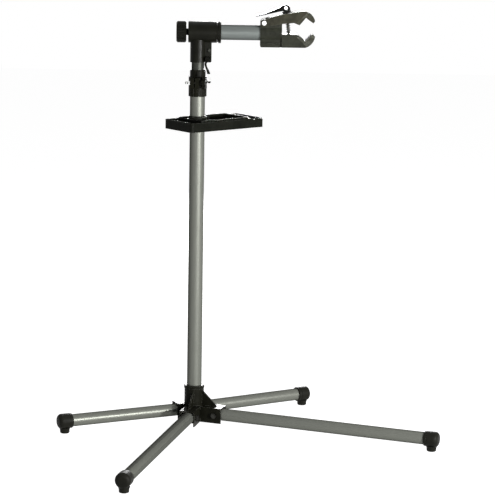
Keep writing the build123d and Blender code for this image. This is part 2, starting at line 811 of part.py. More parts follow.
# ---------------------------------------------------------------- turning head
barrel_radius = barrel_diameter / 2
arm_radius = arm_diameter / 2
web_front = barrel_web - barrel_back
ear_inner = sleeve_diameter / 2 - ear_root_depth

with BuildPart() as head_tee:
    with BuildSketch(ahead(0, -barrel_back, arm_height)):
        Circle(barrel_radius)
    extrude(amount=barrel_back + barrel_front)
    barrel_rims = head_tee.edges().filter_by(GeomType.CIRCLE)
    chamfer(barrel_rims, barrel_rim_chamfer)
    with BuildSketch(level(sleeve_bottom_height)):
        Circle(sleeve_diameter / 2)
    extrude(amount=sleeve_length)
    with BuildSketch(beside(0, sleeve_bottom_height)):
        with Locations(((ear_inner + ear_reach) / 2, ear_height / 2)):
            Rectangle(ear_reach - ear_inner, ear_height)
    extrude(amount=ear_width / 2, both=True)
    ear_corners = head_tee.edges().filter_by(Axis.Y).group_by(Axis.X)[-1].sort_by(Axis.Z)[0]
    fillet(ear_corners, ear_round)
    with BuildSketch(ahead(0, web_front, arm_height)):
        Circle(arm_radius + running_gap)
    extrude(amount=barrel_front - web_front, mode=Mode.SUBTRACT)
    with BuildSketch(level(sleeve_bottom_height)):
        Circle(column_radius + running_gap)
    extrude(amount=column_top_height + face_gap - sleeve_bottom_height, mode=Mode.SUBTRACT)
    with BuildSketch(ahead(0, -barrel_back, arm_height)):
        Circle(stud_diameter / 2 + running_gap)
    extrude(amount=barrel_web, mode=Mode.SUBTRACT)
    with BuildSketch(beside(0, sleeve_bottom_height)):
        split_height = sleeve_length - barrel_radius
        with Locations(((ear_reach + 1) / 2, split_height / 2)):
            Rectangle(ear_reach + 1, split_height)
    extrude(amount=sleeve_split / 2, both=True, mode=Mode.SUBTRACT)
    with BuildSketch(beside(0)):
        with Locations((pinch_bolt_reach, pinch_bolt_height)):
            Circle(pinch_bolt_diameter / 2 + seat_gap)
        with Locations((release_reach, release_height)):
            Circle(release_rod_diameter / 2 + seat_gap)
    extrude(amount=ear_width, both=True, mode=Mode.SUBTRACT)
write(head_tee, "head_tee")

pinch_seat = Plane(
    origin=(pinch_bolt_reach, -ear_width / 2, pinch_bolt_height), x_dir=(1, 0, 0), z_dir=(0, -1, 0)
)
pinch_bolt = socket_bolt(
    pinch_seat, pinch_head_diameter, pinch_head_height, pinch_bolt_diameter,
    ear_width + pinch_nut_thickness + 1,
)
write(pinch_bolt, "pinch_bolt")
pinch_nut = hex_nut(
    Plane(origin=(pinch_bolt_reach, ear_width / 2, pinch_bolt_height), x_dir=(1, 0, 0), z_dir=(0, 1, 0)),
    pinch_nut_flats, pinch_nut_thickness, pinch_bolt_diameter,
)
write(pinch_nut, "pinch_nut")

# quick release: a rod through the ears, a cam lever on its near end, a round nut on the far one
release_head_aside = ear_width / 2 + face_gap + release_head_radius
release_centre = Vector(release_reach, -release_head_aside, release_height)
release_pin_plane = Plane(origin=release_centre, x_dir=(0, -1, 0), z_dir=(1, 0, 0))
release_eye_radius = release_rod_diameter / 2 + release_eye_wall
with BuildPart() as release_rod:
    with BuildSketch(Plane(origin=release_centre, x_dir=(1, 0, 0), z_dir=(0, 1, 0))):
        Circle(release_rod_diameter / 2)
    extrude(amount=release_head_aside + ear_width / 2 + release_nut_thickness + 1)
    with BuildSketch(release_pin_plane):
        Circle(release_eye_radius)
    extrude(amount=release_rod_diameter / 2, both=True)
    with BuildSketch(release_pin_plane):
        Circle(release_pin_diameter / 2 + seat_gap)
    extrude(amount=release_rod_diameter, both=True, mode=Mode.SUBTRACT)
write(release_rod, "release_rod")

with BuildPart() as release_nut:
    with BuildSketch(Plane(origin=(release_reach, ear_width / 2, release_height), z_dir=(0, 1, 0))):
        Circle(release_nut_radius)
        Circle(release_rod_diameter / 2 + seat_gap, mode=Mode.SUBTRACT)
    extrude(amount=release_nut_thickness)
    chamfer(release_nut.faces().sort_by(Axis.Y)[-1].edges().sort_by(SortBy.LENGTH)[-1], 1)
write(release_nut, "release_nut")

with BuildPart() as release_pin:
    with BuildSketch(release_pin_plane):
        Circle(release_pin_diameter / 2)
    extrude(amount=release_head_width / 2, both=True)
write(release_pin, "release_pin")

lever_face = Plane(
    origin=release_centre + Vector(0, release_lever_inset, 0), x_dir=(1, 0, 0), z_dir=(0, -1, 0)
)
rod_slot = release_eye_radius + face_gap
slot_width = release_rod_diameter + 2 * face_gap
with BuildPart() as release_lever:
    with BuildSketch(release_pin_plane):
        Circle(release_head_radius)
    extrude(amount=release_head_width / 2, both=True)
    with BuildSketch(lever_face):
        with BuildLine():
            Polyline(*release_inner_line)
            ThreePointArc(release_inner_line[-1], release_tip, release_outer_line[0])
            Polyline(*release_outer_line, release_inner_line[0])
        make_face()
    extrude(amount=release_lever_thickness / 2, both=True)
    with BuildSketch(release_pin_plane):
        Circle(rod_slot)
        with PolarLocations(
            release_head_radius / 2, release_slot_steps, 180, release_lever_swing, endpoint=True
        ):
            Rectangle(release_head_radius, slot_width)
    extrude(amount=slot_width / 2, both=True, mode=Mode.SUBTRACT)
    with BuildSketch(release_pin_plane):
        Circle(release_pin_diameter / 2 + running_gap)
    extrude(amount=release_head_width, both=True, mode=Mode.SUBTRACT)
write(release_lever, "release_lever")


# ---------------------------------------------------------------- swivel knob
knob_front = -barrel_back - swivel_knob_gap
knob_back = knob_front - swivel_knob_length
knob_bore_back = knob_back + swivel_cap_thickness
with BuildPart() as swivel_knob:
    with BuildSketch(ahead(0, knob_back, arm_height)):
        Circle(swivel_knob_diameter / 2)
    extrude(amount=swivel_knob_length)
    chamfer(swivel_knob.edges().filter_by(GeomType.CIRCLE), swivel_knob_chamfer)
    with BuildSketch(ahead(0, knob_back, arm_height)):
        with PolarLocations(swivel_knob_diameter / 2 + swivel_flute_radius / 2, swivel_flutes):
            Circle(swivel_flute_radius)
    extrude(amount=swivel_knob_length, mode=Mode.SUBTRACT)
    with BuildSketch(ahead(0, knob_front, arm_height)):
        Circle(swivel_neck_diameter / 2)
    extrude(amount=swivel_knob_gap - face_gap)
    with BuildSketch(ahead(0, knob_bore_back, arm_height)):
        Circle(stud_diameter / 2 + seat_gap)
    extrude(amount=swivel_knob_length, mode=Mode.SUBTRACT)
write(swivel_knob, "swivel_knob")

with BuildPart() as swivel_stud:
    with BuildSketch(ahead(0, knob_bore_back, arm_height)):
        Circle(stud_diameter / 2)
    extrude(amount=arm_inner_end + stud_arm_length - knob_bore_back)
    chamfer(swivel_stud.faces().sort_by(Axis.X)[-1].edges(), 1)
write(swivel_stud, "swivel_stud")


# ---------------------------------------------------------------- arm
arm_bore_radius = arm_radius - arm_wall
with BuildPart() as arm_tube:
    with BuildSketch(ahead(0, arm_inner_end, arm_height)):
        Circle(arm_radius)
        Circle(arm_bore_radius, mode=Mode.SUBTRACT)
    extrude(amount=arm_outer_end - arm_inner_end)

with BuildPart() as arm_plug:
    with BuildSketch(ahead(0, arm_inner_end, arm_height)):
        Circle(arm_bore_radius - seat_gap)
        Circle(stud_diameter / 2 + running_gap, mode=Mode.SUBTRACT)
    extrude(amount=arm_plug_length)
write(arm_plug, "arm_plug")

with BuildPart() as arm_collar:
    with BuildSketch(ahead(0, barrel_front + face_gap, arm_height)):
        Circle(arm_collar_diameter / 2)
    extrude(amount=arm_collar_width)
    chamfer(arm_collar.edges().filter_by(GeomType.CIRCLE), 1.5)
    with BuildSketch(ahead(0, barrel_front + face_gap, arm_height)):
        Circle(arm_collar_diameter / 2)
        Circle(arm_collar_neck_diameter / 2, mode=Mode.SUBTRACT)
    extrude(amount=arm_collar_neck, mode=Mode.SUBTRACT)
    with BuildSketch(ahead(0, barrel_front, arm_height)):
        Circle(arm_radius + seat_gap)
    extrude(amount=arm_collar_width + 1, mode=Mode.SUBTRACT)
write(arm_collar, "arm_collar")


# ---------------------------------------------------------------- clamp planes
lean_back = radians(rod_lean)
rod_up = Vector(-sin(lean_back), 0, cos(lean_back))
rod_forward = Vector(cos(lean_back), 0, sin(lean_back))
rod_foot = Vector(rod_reach, 0, jaw_flat_height)


def rod_level(distance):
    """Plane square to the clamp rod, a distance up it from the lower jaw's flat."""
    return Plane(origin=rod_foot + rod_up * distance, x_dir=rod_forward, z_dir=rod_up)


def rod_side(distance):
    """Upright plane that holds the rod: its x ahead, its y up the rod."""
    return Plane(origin=rod_foot + rod_up * distance, x_dir=rod_forward, z_dir=(0, -1, 0))


def slope_step(drop, slope):
    """Run along the arm of a face that drops by an amount at a slope."""
    return drop / tan(radians(slope))


# ---------------------------------------------------------------- clamp body
clamp_half = clamp_width / 2
cheek_inner = clamp_half - jaw_cheek
tongue_half = cheek_inner - face_gap
lower_tip_height = lower_v_height + lower_tip_rise
lower_tip_reach = lower_v_reach + slope_step(lower_tip_rise, lower_v_front_slope)
lower_v_start = lower_v_reach - slope_step(jaw_flat_height - lower_v_height, lower_v_rear_slope)
lower_tip_out = (
    lower_tip_reach + lower_tip_thickness * sin(radians(lower_v_front_slope)),
    lower_tip_height - lower_tip_thickness * cos(radians(lower_v_front_slope)),
)
clamp_bore_end = arm_outer_end + face_gap
rail_length = block_length - groove_width
core_depth = clamp_drop - arm_radius - core_floor
with BuildPart() as clamp_body:
    with BuildSketch(beside(0)):
        with BuildLine():
            SagittaArc((lower_v_reach, clamp_bottom_height), lower_tip_out, -lower_nose_bulge)
            Polyline(
                lower_tip_out, (lower_tip_reach, lower_tip_height), (lower_v_reach, lower_v_height),
                (lower_v_start, jaw_flat_height), (block_front, jaw_flat_height),
                (block_front, clamp_bottom_height), (lower_v_reach, clamp_bottom_height),
            )
        make_face()
        with Locations((clamp_rear + rail_length / 2, clamp_bottom_height + rail_height / 2)):
            Rectangle(rail_length, rail_height)
    extrude(amount=clamp_half, both=True)
    with BuildSketch(ahead(0, clamp_rear, arm_height)):
        Circle(clamp_half)
    extrude(amount=block_length)
    with BuildSketch(beside(0)):
        with Locations((clamp_rear + block_length / 2, arm_height - clamp_drop / 2)):
            Rectangle(block_length, clamp_drop)
    extrude(amount=keel_width / 2, both=True)
    rear_corner = clamp_body.edges().filter_by(Axis.Y).group_by(Axis.X)[0].sort_by(Axis.Z)[0]
    fillet(rear_corner, rail_round)
    with BuildSketch(beside(0)):
        with Locations((pivot_reach, pivot_height)):
            Circle(pivot_boss_radius - face_gap)
        with BuildLine():
            Polyline(
                (clamp_rear, arm_height), (block_front, arm_height), (block_front, tongue_top_height),
                (pivot_reach, tongue_top_height), (clamp_rear, pivot_height), close=True,
            )
        make_face()
    extrude(amount=tongue_half, both=True)
    with BuildSketch(ahead(0, clamp_rear - pivot_boss_radius, arm_height)):
        Circle(arm_radius + seat_gap)
    extrude(amount=clamp_bore_end - clamp_rear + pivot_boss_radius, mode=Mode.SUBTRACT)
    with BuildSketch(beside(0)):
        with Locations((pivot_reach, pivot_height)):
            Circle(pivot_diameter / 2 + seat_gap)
    extrude(amount=clamp_half, both=True, mode=Mode.SUBTRACT)
    with BuildSketch(level(clamp_bottom_height)):
        with Locations(((clamp_rear + clamp_bore_end) / 2, 0)):
            with GridLocations(core_pitch, 0, 2, 1):
                Rectangle(core_length, core_width)
    extrude(amount=core_depth, mode=Mode.SUBTRACT)
    with BuildSketch(rod_level(-spot_face_depth)):
        Circle(washer_radius + 1)
    extrude(amount=2 * spot_face_depth + 1, mode=Mode.SUBTRACT)
    with BuildSketch(rod_level(0)):
        Circle(rod_diameter / 2 + seat_gap)
    extrude(amount=-rod_nut_depth, mode=Mode.SUBTRACT)
    with BuildSketch(rod_level(-rod_nut_depth)):
        Circle(rod_nut_pocket_radius)
    extrude(amount=-clamp_half, mode=Mode.SUBTRACT)


# ---------------------------------------------------------------- upper jaw
upper_tooth = (
    upper_v_reach - slope_step(upper_tooth_drop, upper_v_rear_slope),
    upper_v_height - upper_tooth_drop,
)
upper_tip = (
    upper_v_reach + slope_step(upper_tip_drop, upper_v_front_slope),
    upper_v_height - upper_tip_drop,
)
upper_tip_out = (
    upper_tip[0] + upper_tip_thickness * sin(radians(upper_v_front_slope)),
    upper_tip[1] + upper_tip_thickness * cos(radians(upper_v_front_slope)),
)
seat_start = rod_foot + rod_up * rod_seat - rod_forward * seat_behind
seat_end = rod_foot + rod_up * rod_seat + rod_forward * seat_ahead
crest = (jaw_crest_reach, jaw_crest_height)
channel_rear = clamp_rear - pivot_boss_radius
roof_line = (
    (jaw_fork_end, pivot_height + pivot_boss_radius - jaw_roof + jaw_roof_rise),
    (seat_start.X, seat_start.Z - jaw_roof),
    (seat_end.X, seat_end.Z - jaw_roof),
    (jaw_channel_end, seat_end.Z - jaw_roof),
)
with BuildPart() as upper_jaw:
    with BuildSketch(beside(0)):
        with Locations((pivot_reach, pivot_height)):
            Circle(pivot_boss_radius)
        with BuildLine():
            SagittaArc(crest, upper_tip_out, upper_nose_bulge)
            Polyline(
                upper_tip_out, upper_tip, (upper_v_reach, upper_v_height), upper_tooth,
                (jaw_under_front, jaw_under_height),
                (jaw_under_rear, jaw_under_height - jaw_under_slope_drop),
                (pivot_reach, pivot_height - pivot_boss_radius),
                (pivot_reach, pivot_height + pivot_boss_radius), (seat_start.X, seat_start.Z),
                (seat_end.X, seat_end.Z), (seat_end.X + seat_step_run, seat_end.Z + seat_step), crest,
            )
        make_face()
    extrude(amount=clamp_half, both=True)
    nose_edge = upper_jaw.edges().filter_by(Axis.Y).sort_by(Axis.X)[-1]
    fillet(nose_edge, upper_nose_round)
    with BuildSketch(beside(0)):
        with BuildLine():
            Polyline(
                (channel_rear, jaw_flat_height), (channel_rear, jaw_crest_height),
                (jaw_fork_end, jaw_crest_height), *roof_line, (jaw_channel_end, jaw_flat_height),
                close=True,
            )
        make_face()
    extrude(amount=cheek_inner, both=True, mode=Mode.SUBTRACT)
    with BuildSketch(rod_level(rod_seat)):
        with Locations((rod_slot_shift, 0)):
            SlotOverall(rod_slot_length, rod_diameter + rod_slot_play)
    extrude(amount=-2 * jaw_roof, mode=Mode.SUBTRACT)
    with BuildSketch(beside(0)):
        with Locations((pivot_reach, pivot_height)):
            Circle(pivot_diameter / 2 + running_gap)
    extrude(amount=clamp_half, both=True, mode=Mode.SUBTRACT)


# ---------------------------------------------------------------- jaw pads
def v_face(reach, height, slope, side, lift):
    """Plane on a face of a V: origin at the corner, x along the face, z into the mouth."""
    run, rise = cos(radians(slope)), sin(radians(slope))
    return Plane(
        origin=(reach, 0, height), x_dir=(side * run, 0, lift * rise), z_dir=(-side * rise, 0, lift * run)
    )


def pad_outline(face, length, margin):
    """Footprint of a pad, clear of the face's ends and sides."""
    with BuildSketch(face) as outline:
        with Locations((length / 2, 0)):
            RectangleRounded(length - 2 * margin, clamp_width - 2 * margin, pad_corner)
    return outline.sketch


def jaw_pad(face, length):
    """Rubber pad let into a jaw face, with ribs across it."""
    rib_pitch = (length - 2 * pad_margin) / (pad_ribs + 1)
    with BuildPart() as pad:
        extrude(pad_outline(face, length, pad_margin + seat_gap), amount=-pad_sink)
        with BuildSketch(face) as ribs:
            with Locations((length / 2, 0)):
                with GridLocations(rib_pitch, 0, pad_ribs, 1):
                    Rectangle(rib_pitch / 2, clamp_width - 4 * pad_margin)
        extrude(ribs.sketch, amount=pad_rib_height)
    return pad


lower_rear_length = (jaw_flat_height - lower_v_height) / sin(radians(lower_v_rear_slope))
lower_front_length = lower_tip_rise / sin(radians(lower_v_front_slope))
upper_rear_length = upper_tooth_drop / sin(radians(upper_v_rear_slope))
upper_front_length = upper_tip_drop / sin(radians(upper_v_front_slope))
lower_rear_face = v_face(lower_v_reach, lower_v_height, lower_v_rear_slope, -1, 1)
lower_front_face = v_face(lower_v_reach, lower_v_height, lower_v_front_slope, 1, 1)
upper_rear_face = v_face(upper_v_reach, upper_v_height, upper_v_rear_slope, -1, -1)
upper_front_face = v_face(upper_v_reach, upper_v_height, upper_v_front_slope, 1, -1)
lower_pads = {
    "lower_pad_rear": (lower_rear_face, lower_rear_length),
    "lower_pad_front": (lower_front_face, lower_front_length),
}
upper_pads = {
    "upper_pad_rear": (upper_rear_face, upper_rear_length),
    "upper_pad_front": (upper_front_face, upper_front_length),
}
for jaw, pads in ((clamp_body, lower_pads), (upper_jaw, upper_pads)):
    for name, (face, length) in pads.items():
        with jaw:
            extrude(pad_outline(face, length, pad_margin), amount=-pad_sink, mode=Mode.SUBTRACT)
        write(jaw_pad(face, length), name)


# ---------------------------------------------------------------- clamp screws and pivot
core_ceiling = clamp_bottom_height + core_depth
clamp_screw_length = core_floor + arm_wall + seat_gap
screw_place = Plane(origin=((clamp_rear + clamp_bore_end) / 2, 0, core_ceiling), z_dir=(0, 0, -1))
with BuildPart() as clamp_screws:
    for step in (-1, 1):
        seat = Plane(origin=screw_place.origin + Vector(step * core_pitch / 2, 0, 0), z_dir=(0, 0, -1))
        clamp_screw = socket_bolt(
            seat, clamp_screw_head_diameter, clamp_screw_head_height, clamp_screw_diameter,
            clamp_screw_length,
        )
        add(clamp_screw.part)
write(clamp_screws, "clamp_screws")
for pierced in (clamp_body, arm_tube):
    with pierced:
        with BuildSketch(level(core_ceiling)):
            with Locations(((clamp_rear + clamp_bore_end) / 2, 0)):
                with GridLocations(core_pitch, 0, 2, 1):
                    Circle(clamp_screw_diameter / 2 + seat_gap)
        extrude(amount=clamp_screw_length + 1, mode=Mode.SUBTRACT)
write(arm_tube, "arm_tube")
write(clamp_body, "clamp_body")
write(upper_jaw, "upper_jaw")

pivot_seat = Plane(origin=(pivot_reach, -clamp_half, pivot_height), x_dir=(1, 0, 0), z_dir=(0, -1, 0))
jaw_pivot_bolt = socket_bolt(
    pivot_seat, pivot_head_diameter, pivot_head_height, pivot_diameter,
    clamp_width + pivot_nut_thickness + 1,
)
write(jaw_pivot_bolt, "jaw_pivot_bolt")
pivot_nut_seat = Plane(origin=(pivot_reach, clamp_half, pivot_height), x_dir=(1, 0, 0), z_dir=(0, 1, 0))
write(hex_nut(pivot_nut_seat, pivot_nut_flats, pivot_nut_thickness, pivot_diameter), "jaw_pivot_nut")


# ---------------------------------------------------------------- clamp rod and spring
saddle_top = rod_seat + face_gap + saddle_thickness
pin_distance = saddle_top + face_gap + cam_radius + cam_offset
rod_bottom = -rod_nut_depth - rod_nut_thickness - 1
with BuildPart() as clamp_rod:
    with BuildSketch(rod_level(rod_bottom)):
        Circle(rod_diameter / 2)
    extrude(amount=pin_distance + rod_past_nut - rod_bottom)
    chamfer(clamp_rod.edges().filter_by(GeomType.CIRCLE), rod_diameter / 8)
write(clamp_rod, "clamp_rod")
rod_nut_seat = rod_level(-rod_nut_depth - rod_nut_thickness)
write(hex_nut(rod_nut_seat, rod_nut_flats, rod_nut_thickness, rod_diameter), "rod_nut")

with BuildPart() as spring_washer:
    with BuildSketch(rod_level(-spot_face_depth)):
        Circle(washer_radius)
        Circle(rod_diameter / 2 + seat_gap, mode=Mode.SUBTRACT)
    extrude(amount=washer_thickness)
write(spring_washer, "spring_washer")

spring_foot = washer_thickness - spot_face_depth + spring_wire / 2 + seat_gap
spring_head = rod_seat - jaw_roof - spring_wire / 2 - face_gap
spring_height = spring_head - spring_foot
with BuildPart() as jaw_spring:
    with BuildLine() as coil:
        Helix(
            pitch=spring_height / spring_turns, height=spring_height, radius=spring_radius,
            center=rod_foot + rod_up * spring_foot, direction=rod_up,
        )
    with BuildSketch(Plane(origin=coil.line @ 0, z_dir=coil.line % 0)):
        Circle(spring_wire / 2)
    sweep(path=coil.line, is_frenet=True)
write(jaw_spring, "jaw_spring")


# ---------------------------------------------------------------- cam block and lever
with BuildPart() as cam_saddle:
    with BuildSketch(rod_side(rod_seat + face_gap)):
        with Locations((-saddle_length / 4, saddle_rear_height / 2)):
            Rectangle(saddle_length / 2, saddle_rear_height)
        with Locations((saddle_length / 4, saddle_front_height / 2)):
            Rectangle(saddle_length / 2, saddle_front_height)
        with Locations((0, saddle_crown_radius)):
            Circle(saddle_crown_radius, mode=Mode.INTERSECT)
        with Locations((0, pin_distance - rod_seat - face_gap)):
            Circle(cam_radius + cam_offset + face_gap, mode=Mode.SUBTRACT)
    extrude(amount=saddle_width / 2, both=True)
    with BuildSketch(rod_level(rod_seat)):
        Circle(rod_diameter / 2 + running_gap)
    extrude(amount=saddle_front_height, mode=Mode.SUBTRACT)
write(cam_saddle, "cam_saddle")

with BuildPart() as barrel_nut:
    with BuildSketch(rod_side(pin_distance)):
        Circle(barrel_nut_diameter / 2)
    extrude(amount=cam_width / 2, both=True)
    with BuildSketch(rod_level(pin_distance)):
        Circle(rod_diameter / 2 + running_gap)
    extrude(amount=barrel_nut_diameter, both=True, mode=Mode.SUBTRACT)
write(barrel_nut, "barrel_nut")

pin_place = rod_foot + rod_up * pin_distance
lever_plane = Plane(origin=pin_place, x_dir=(1, 0, 0), z_dir=(0, -1, 0))
cam_middle = (cam_offset * sin(lean_back), -cam_offset * cos(lean_back))
slot_back = rod_diameter / 2 + face_gap
with BuildPart() as cam_lever:
    with BuildSketch(lever_plane):
        with BuildLine():
            Spline(*lever_top_line)
            Line(lever_top_line[-1], lever_under_line[0])
            Spline(*lever_under_line)
            Line(lever_under_line[-1], lever_top_line[0])
        make_face()
    extrude(amount=lever_arm_width / 2, both=True)
    with BuildSketch(lever_plane):
        with Locations(cam_middle):
            Circle(cam_radius)
    extrude(amount=cam_width / 2, both=True)
    with BuildSketch(rod_side(pin_distance)):
        Circle(rod_past_nut + cam_travel + cam_clearance)
        with Locations((cam_radius - slot_back, 0)):
            Rectangle(2 * cam_radius, 4 * cam_radius)
    extrude(amount=cam_slot_width / 2, both=True, mode=Mode.SUBTRACT)
    with BuildSketch(lever_plane):
        Circle(barrel_nut_diameter / 2 + running_gap)
    extrude(amount=cam_width, both=True, mode=Mode.SUBTRACT)
write(cam_lever, "cam_lever")
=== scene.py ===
# %% [markdown]
# # A bicycle work stand
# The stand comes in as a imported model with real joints. This lesson leaves its
# shapes where they are and gives every surface a finish: satin tubes, moulded
# black nylon, rubber feet, bright steel bolts. Small parts that are too fine for
# the model, such as screw threads and grip studs, are grown with Geometry Nodes.

# %% Load the stand
import json
from math import cos, pi, radians, sin

import bmesh
import bpy
from mathutils import Matrix, Vector


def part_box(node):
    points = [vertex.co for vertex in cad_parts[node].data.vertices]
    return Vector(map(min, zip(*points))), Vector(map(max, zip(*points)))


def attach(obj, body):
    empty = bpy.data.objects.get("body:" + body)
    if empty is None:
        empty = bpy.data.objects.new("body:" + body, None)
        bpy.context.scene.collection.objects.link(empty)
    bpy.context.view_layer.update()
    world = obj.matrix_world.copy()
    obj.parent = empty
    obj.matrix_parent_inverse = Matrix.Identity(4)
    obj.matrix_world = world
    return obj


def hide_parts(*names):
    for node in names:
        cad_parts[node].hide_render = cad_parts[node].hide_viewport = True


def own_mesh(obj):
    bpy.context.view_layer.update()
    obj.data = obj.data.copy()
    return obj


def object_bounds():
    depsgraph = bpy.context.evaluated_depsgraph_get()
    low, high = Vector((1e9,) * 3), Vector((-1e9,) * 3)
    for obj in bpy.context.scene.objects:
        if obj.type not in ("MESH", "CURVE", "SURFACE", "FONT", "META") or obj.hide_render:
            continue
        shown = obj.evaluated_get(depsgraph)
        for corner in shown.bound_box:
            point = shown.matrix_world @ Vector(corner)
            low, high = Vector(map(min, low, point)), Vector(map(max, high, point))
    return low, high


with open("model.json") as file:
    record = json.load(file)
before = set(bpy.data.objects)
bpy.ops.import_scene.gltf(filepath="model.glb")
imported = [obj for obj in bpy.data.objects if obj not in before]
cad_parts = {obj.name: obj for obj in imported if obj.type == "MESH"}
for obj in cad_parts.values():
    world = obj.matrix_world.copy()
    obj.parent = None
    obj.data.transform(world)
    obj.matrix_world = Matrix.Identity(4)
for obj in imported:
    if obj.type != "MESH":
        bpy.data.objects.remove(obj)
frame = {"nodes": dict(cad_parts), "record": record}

scene = bpy.context.scene
cad_low, cad_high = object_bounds()
nodes = frame["nodes"]
joints = {joint["name"]: joint for joint in frame["record"]["behaviour"]["joints"]}
print("stand is", [round(b - a, 3) for a, b in zip(cad_low, cad_high)], "m")

# %% [markdown]
# ## Camera
# A long lens far away keeps the tubes nearly parallel, as in a catalogue. The
# camera could be aimed with a constraint, but here it is built from
# three plain directions: where it looks, its right and its up. That makes the
# small roll easy to add, and nothing is left to solve later.

# %% Place the camera
camera_place = Vector((0.0382, -5.4825, 1.489))
look_heading = radians(89.0)
look_down = radians(10.54)
roll = radians(0.91)

ahead = Vector((cos(look_heading) * cos(look_down), sin(look_heading) * cos(look_down), -sin(look_down)))
right = Vector((sin(look_heading), -cos(look_heading), 0.0))
up = right.cross(ahead)
right_rolled = right * cos(roll) + up * sin(roll)
up_rolled = up * cos(roll) - right * sin(roll)

camera_data = bpy.data.cameras.new("catalogue_camera")
camera_data.lens = 156.6
camera_data.clip_end = 50
camera = bpy.data.objects.new("catalogue_camera", camera_data)
camera_axes = Matrix((right_rolled, up_rolled, -ahead)).transposed().to_4x4()
camera.matrix_world = Matrix.Translation(camera_place) @ camera_axes
scene.collection.objects.link(camera)
scene.camera = camera
scene.view_settings.view_transform = "Standard"
print("camera looks along", [round(v, 3) for v in ahead])

# %% [markdown]
# ## Two helpers for nodes
# Every finish below is a graph of nodes. Writing each node and each link on its
# own line soon fills pages, so one helper makes a node with its settings and
# another joins pairs of sockets.

# %% Make and join nodes
def new_node(tree, kind, **settings):
    """Add a node and set its properties and unlinked inputs; _ stands for a space in a label."""
    node = tree.nodes.new(kind)
    for name, value in settings.items():
        label = name.replace("_", " ")
        if label in node.inputs:
            node.inputs[label].default_value = value
        else:
            setattr(node, name, value)
    return node


def join(tree, *links):
    """Link pairs of sockets."""
    for source, target in links:
        tree.links.new(source, target)


print("helpers: new_node, join")

# %% [markdown]
# ## White air
# A catalogue shows such a stand on plain white. The world could simply be
# white, but white light from all around would wash out the black nylon. So the
# air is white only to the eye and to shiny surfaces, and lights the stand with a
# far softer grey. A light path node tells the two kinds of ray apart.

# %% Make the air white
def white_to_the_eye(tree, soft_shader):
    """Mix a shader with a white one for camera, glossy and transmission rays."""
    path = new_node(tree, "ShaderNodeLightPath")
    eye_or_gloss = new_node(tree, "ShaderNodeMath", operation="MAXIMUM")
    any_of_three = new_node(tree, "ShaderNodeMath", operation="MAXIMUM")
    mix = new_node(tree, "ShaderNodeMixShader")
    join(
        tree,
        (path.outputs["Is Camera Ray"], eye_or_gloss.inputs[0]),
        (path.outputs["Is Glossy Ray"], eye_or_gloss.inputs[1]),
        (eye_or_gloss.outputs[0], any_of_three.inputs[0]),
        (path.outputs["Is Transmission Ray"], any_of_three.inputs[1]),
        (any_of_three.outputs[0], mix.inputs["Fac"]),
        (soft_shader, mix.inputs[1]),
    )
    return mix


world = bpy.data.worlds.new("white_air")
world.use_nodes = True
air = world.node_tree
air.nodes.clear()
soft_air = new_node(air, "ShaderNodeBackground", Color=(0.93, 0.95, 0.96, 1), Strength=0.03)
white_air = new_node(air, "ShaderNodeBackground", Color=(1, 1, 1, 1), Strength=1.0)
air_mix = white_to_the_eye(air, soft_air.outputs[0])
air_out = new_node(air, "ShaderNodeOutputWorld")
join(air, (white_air.outputs[0], air_mix.inputs[2]), (air_mix.outputs[0], air_out.inputs["Surface"]))
scene.world = world
print("air:", world.name)

# %% [markdown]
# ## Pale floor
# The stand needs ground under its feet. A single large square is enough, and it
# works as the air does: bright to the eye and to gloss, and a plain grey to the
# soft light that it throws back on the underside of the tubes. The grey paint
# still takes a faint shadow, which lies under the glow.

# %% Lay the floor
floor_half = 9.0
floor_mesh = bpy.data.meshes.new("pale_floor")
floor_corners = [(x * floor_half, y * floor_half, 0) for x, y in ((-1, -1), (1, -1), (1, 1), (-1, 1))]
floor_mesh.from_pydata(floor_corners, [], [(0, 1, 2, 3)])
floor = bpy.data.objects.new("pale_floor", floor_mesh)
scene.collection.objects.link(floor)

floor_finish = bpy.data.materials.new("pale_floor")
floor_finish.use_nodes = True
floor_tree = floor_finish.node_tree
floor_tree.nodes.clear()
floor_grey, glow_strength = 0.4, 0.97
floor_paint = new_node(floor_tree, "ShaderNodeBsdfDiffuse", Color=(floor_grey, floor_grey, floor_grey, 1))
floor_glow = new_node(floor_tree, "ShaderNodeEmission", Color=(1, 1, 1, 1), Strength=glow_strength)
floor_sum = new_node(floor_tree, "ShaderNodeAddShader")
floor_mix = white_to_the_eye(floor_tree, floor_paint.outputs[0])
floor_out = new_node(floor_tree, "ShaderNodeOutputMaterial")
join(
    floor_tree,
    (floor_paint.outputs[0], floor_sum.inputs[0]),
    (floor_glow.outputs[0], floor_sum.inputs[1]),
    (floor_sum.outputs[0], floor_mix.inputs[2]),
    (floor_mix.outputs[0], floor_out.inputs["Surface"]),
)
floor_mesh.materials.append(floor_finish)
print("floor is", 2 * floor_half, "m wide")

# %% [markdown]
# ## Lamps
# A small lamp draws a narrow bright band along a satin tube, a large one a broad
# soft band. A sun would light all of it at once but draws no band, so area lamps
# are used. The key lamp is small and stands well right of the camera, at arm
# height, so each tube has its band right of the middle and a dark left side. A
# front lamp keeps the middle grey, and a back lamp serves whoever walks round.

# %% Hang five soft lamps
def soft_lamp(name, place, aim, size, power):
    """Square area lamp that shines from a place towards a point."""
    data = bpy.data.lights.new(name, "AREA")
    data.size = size
    data.energy = power
    lamp = bpy.data.objects.new(name, data)
    place, aim = Vector(place), Vector(aim)
    turn = (aim - place).to_track_quat("-Z", "Y").to_matrix().to_4x4()
    lamp.matrix_world = Matrix.Translation(place) @ turn
    scene.collection.objects.link(lamp)
    return lamp


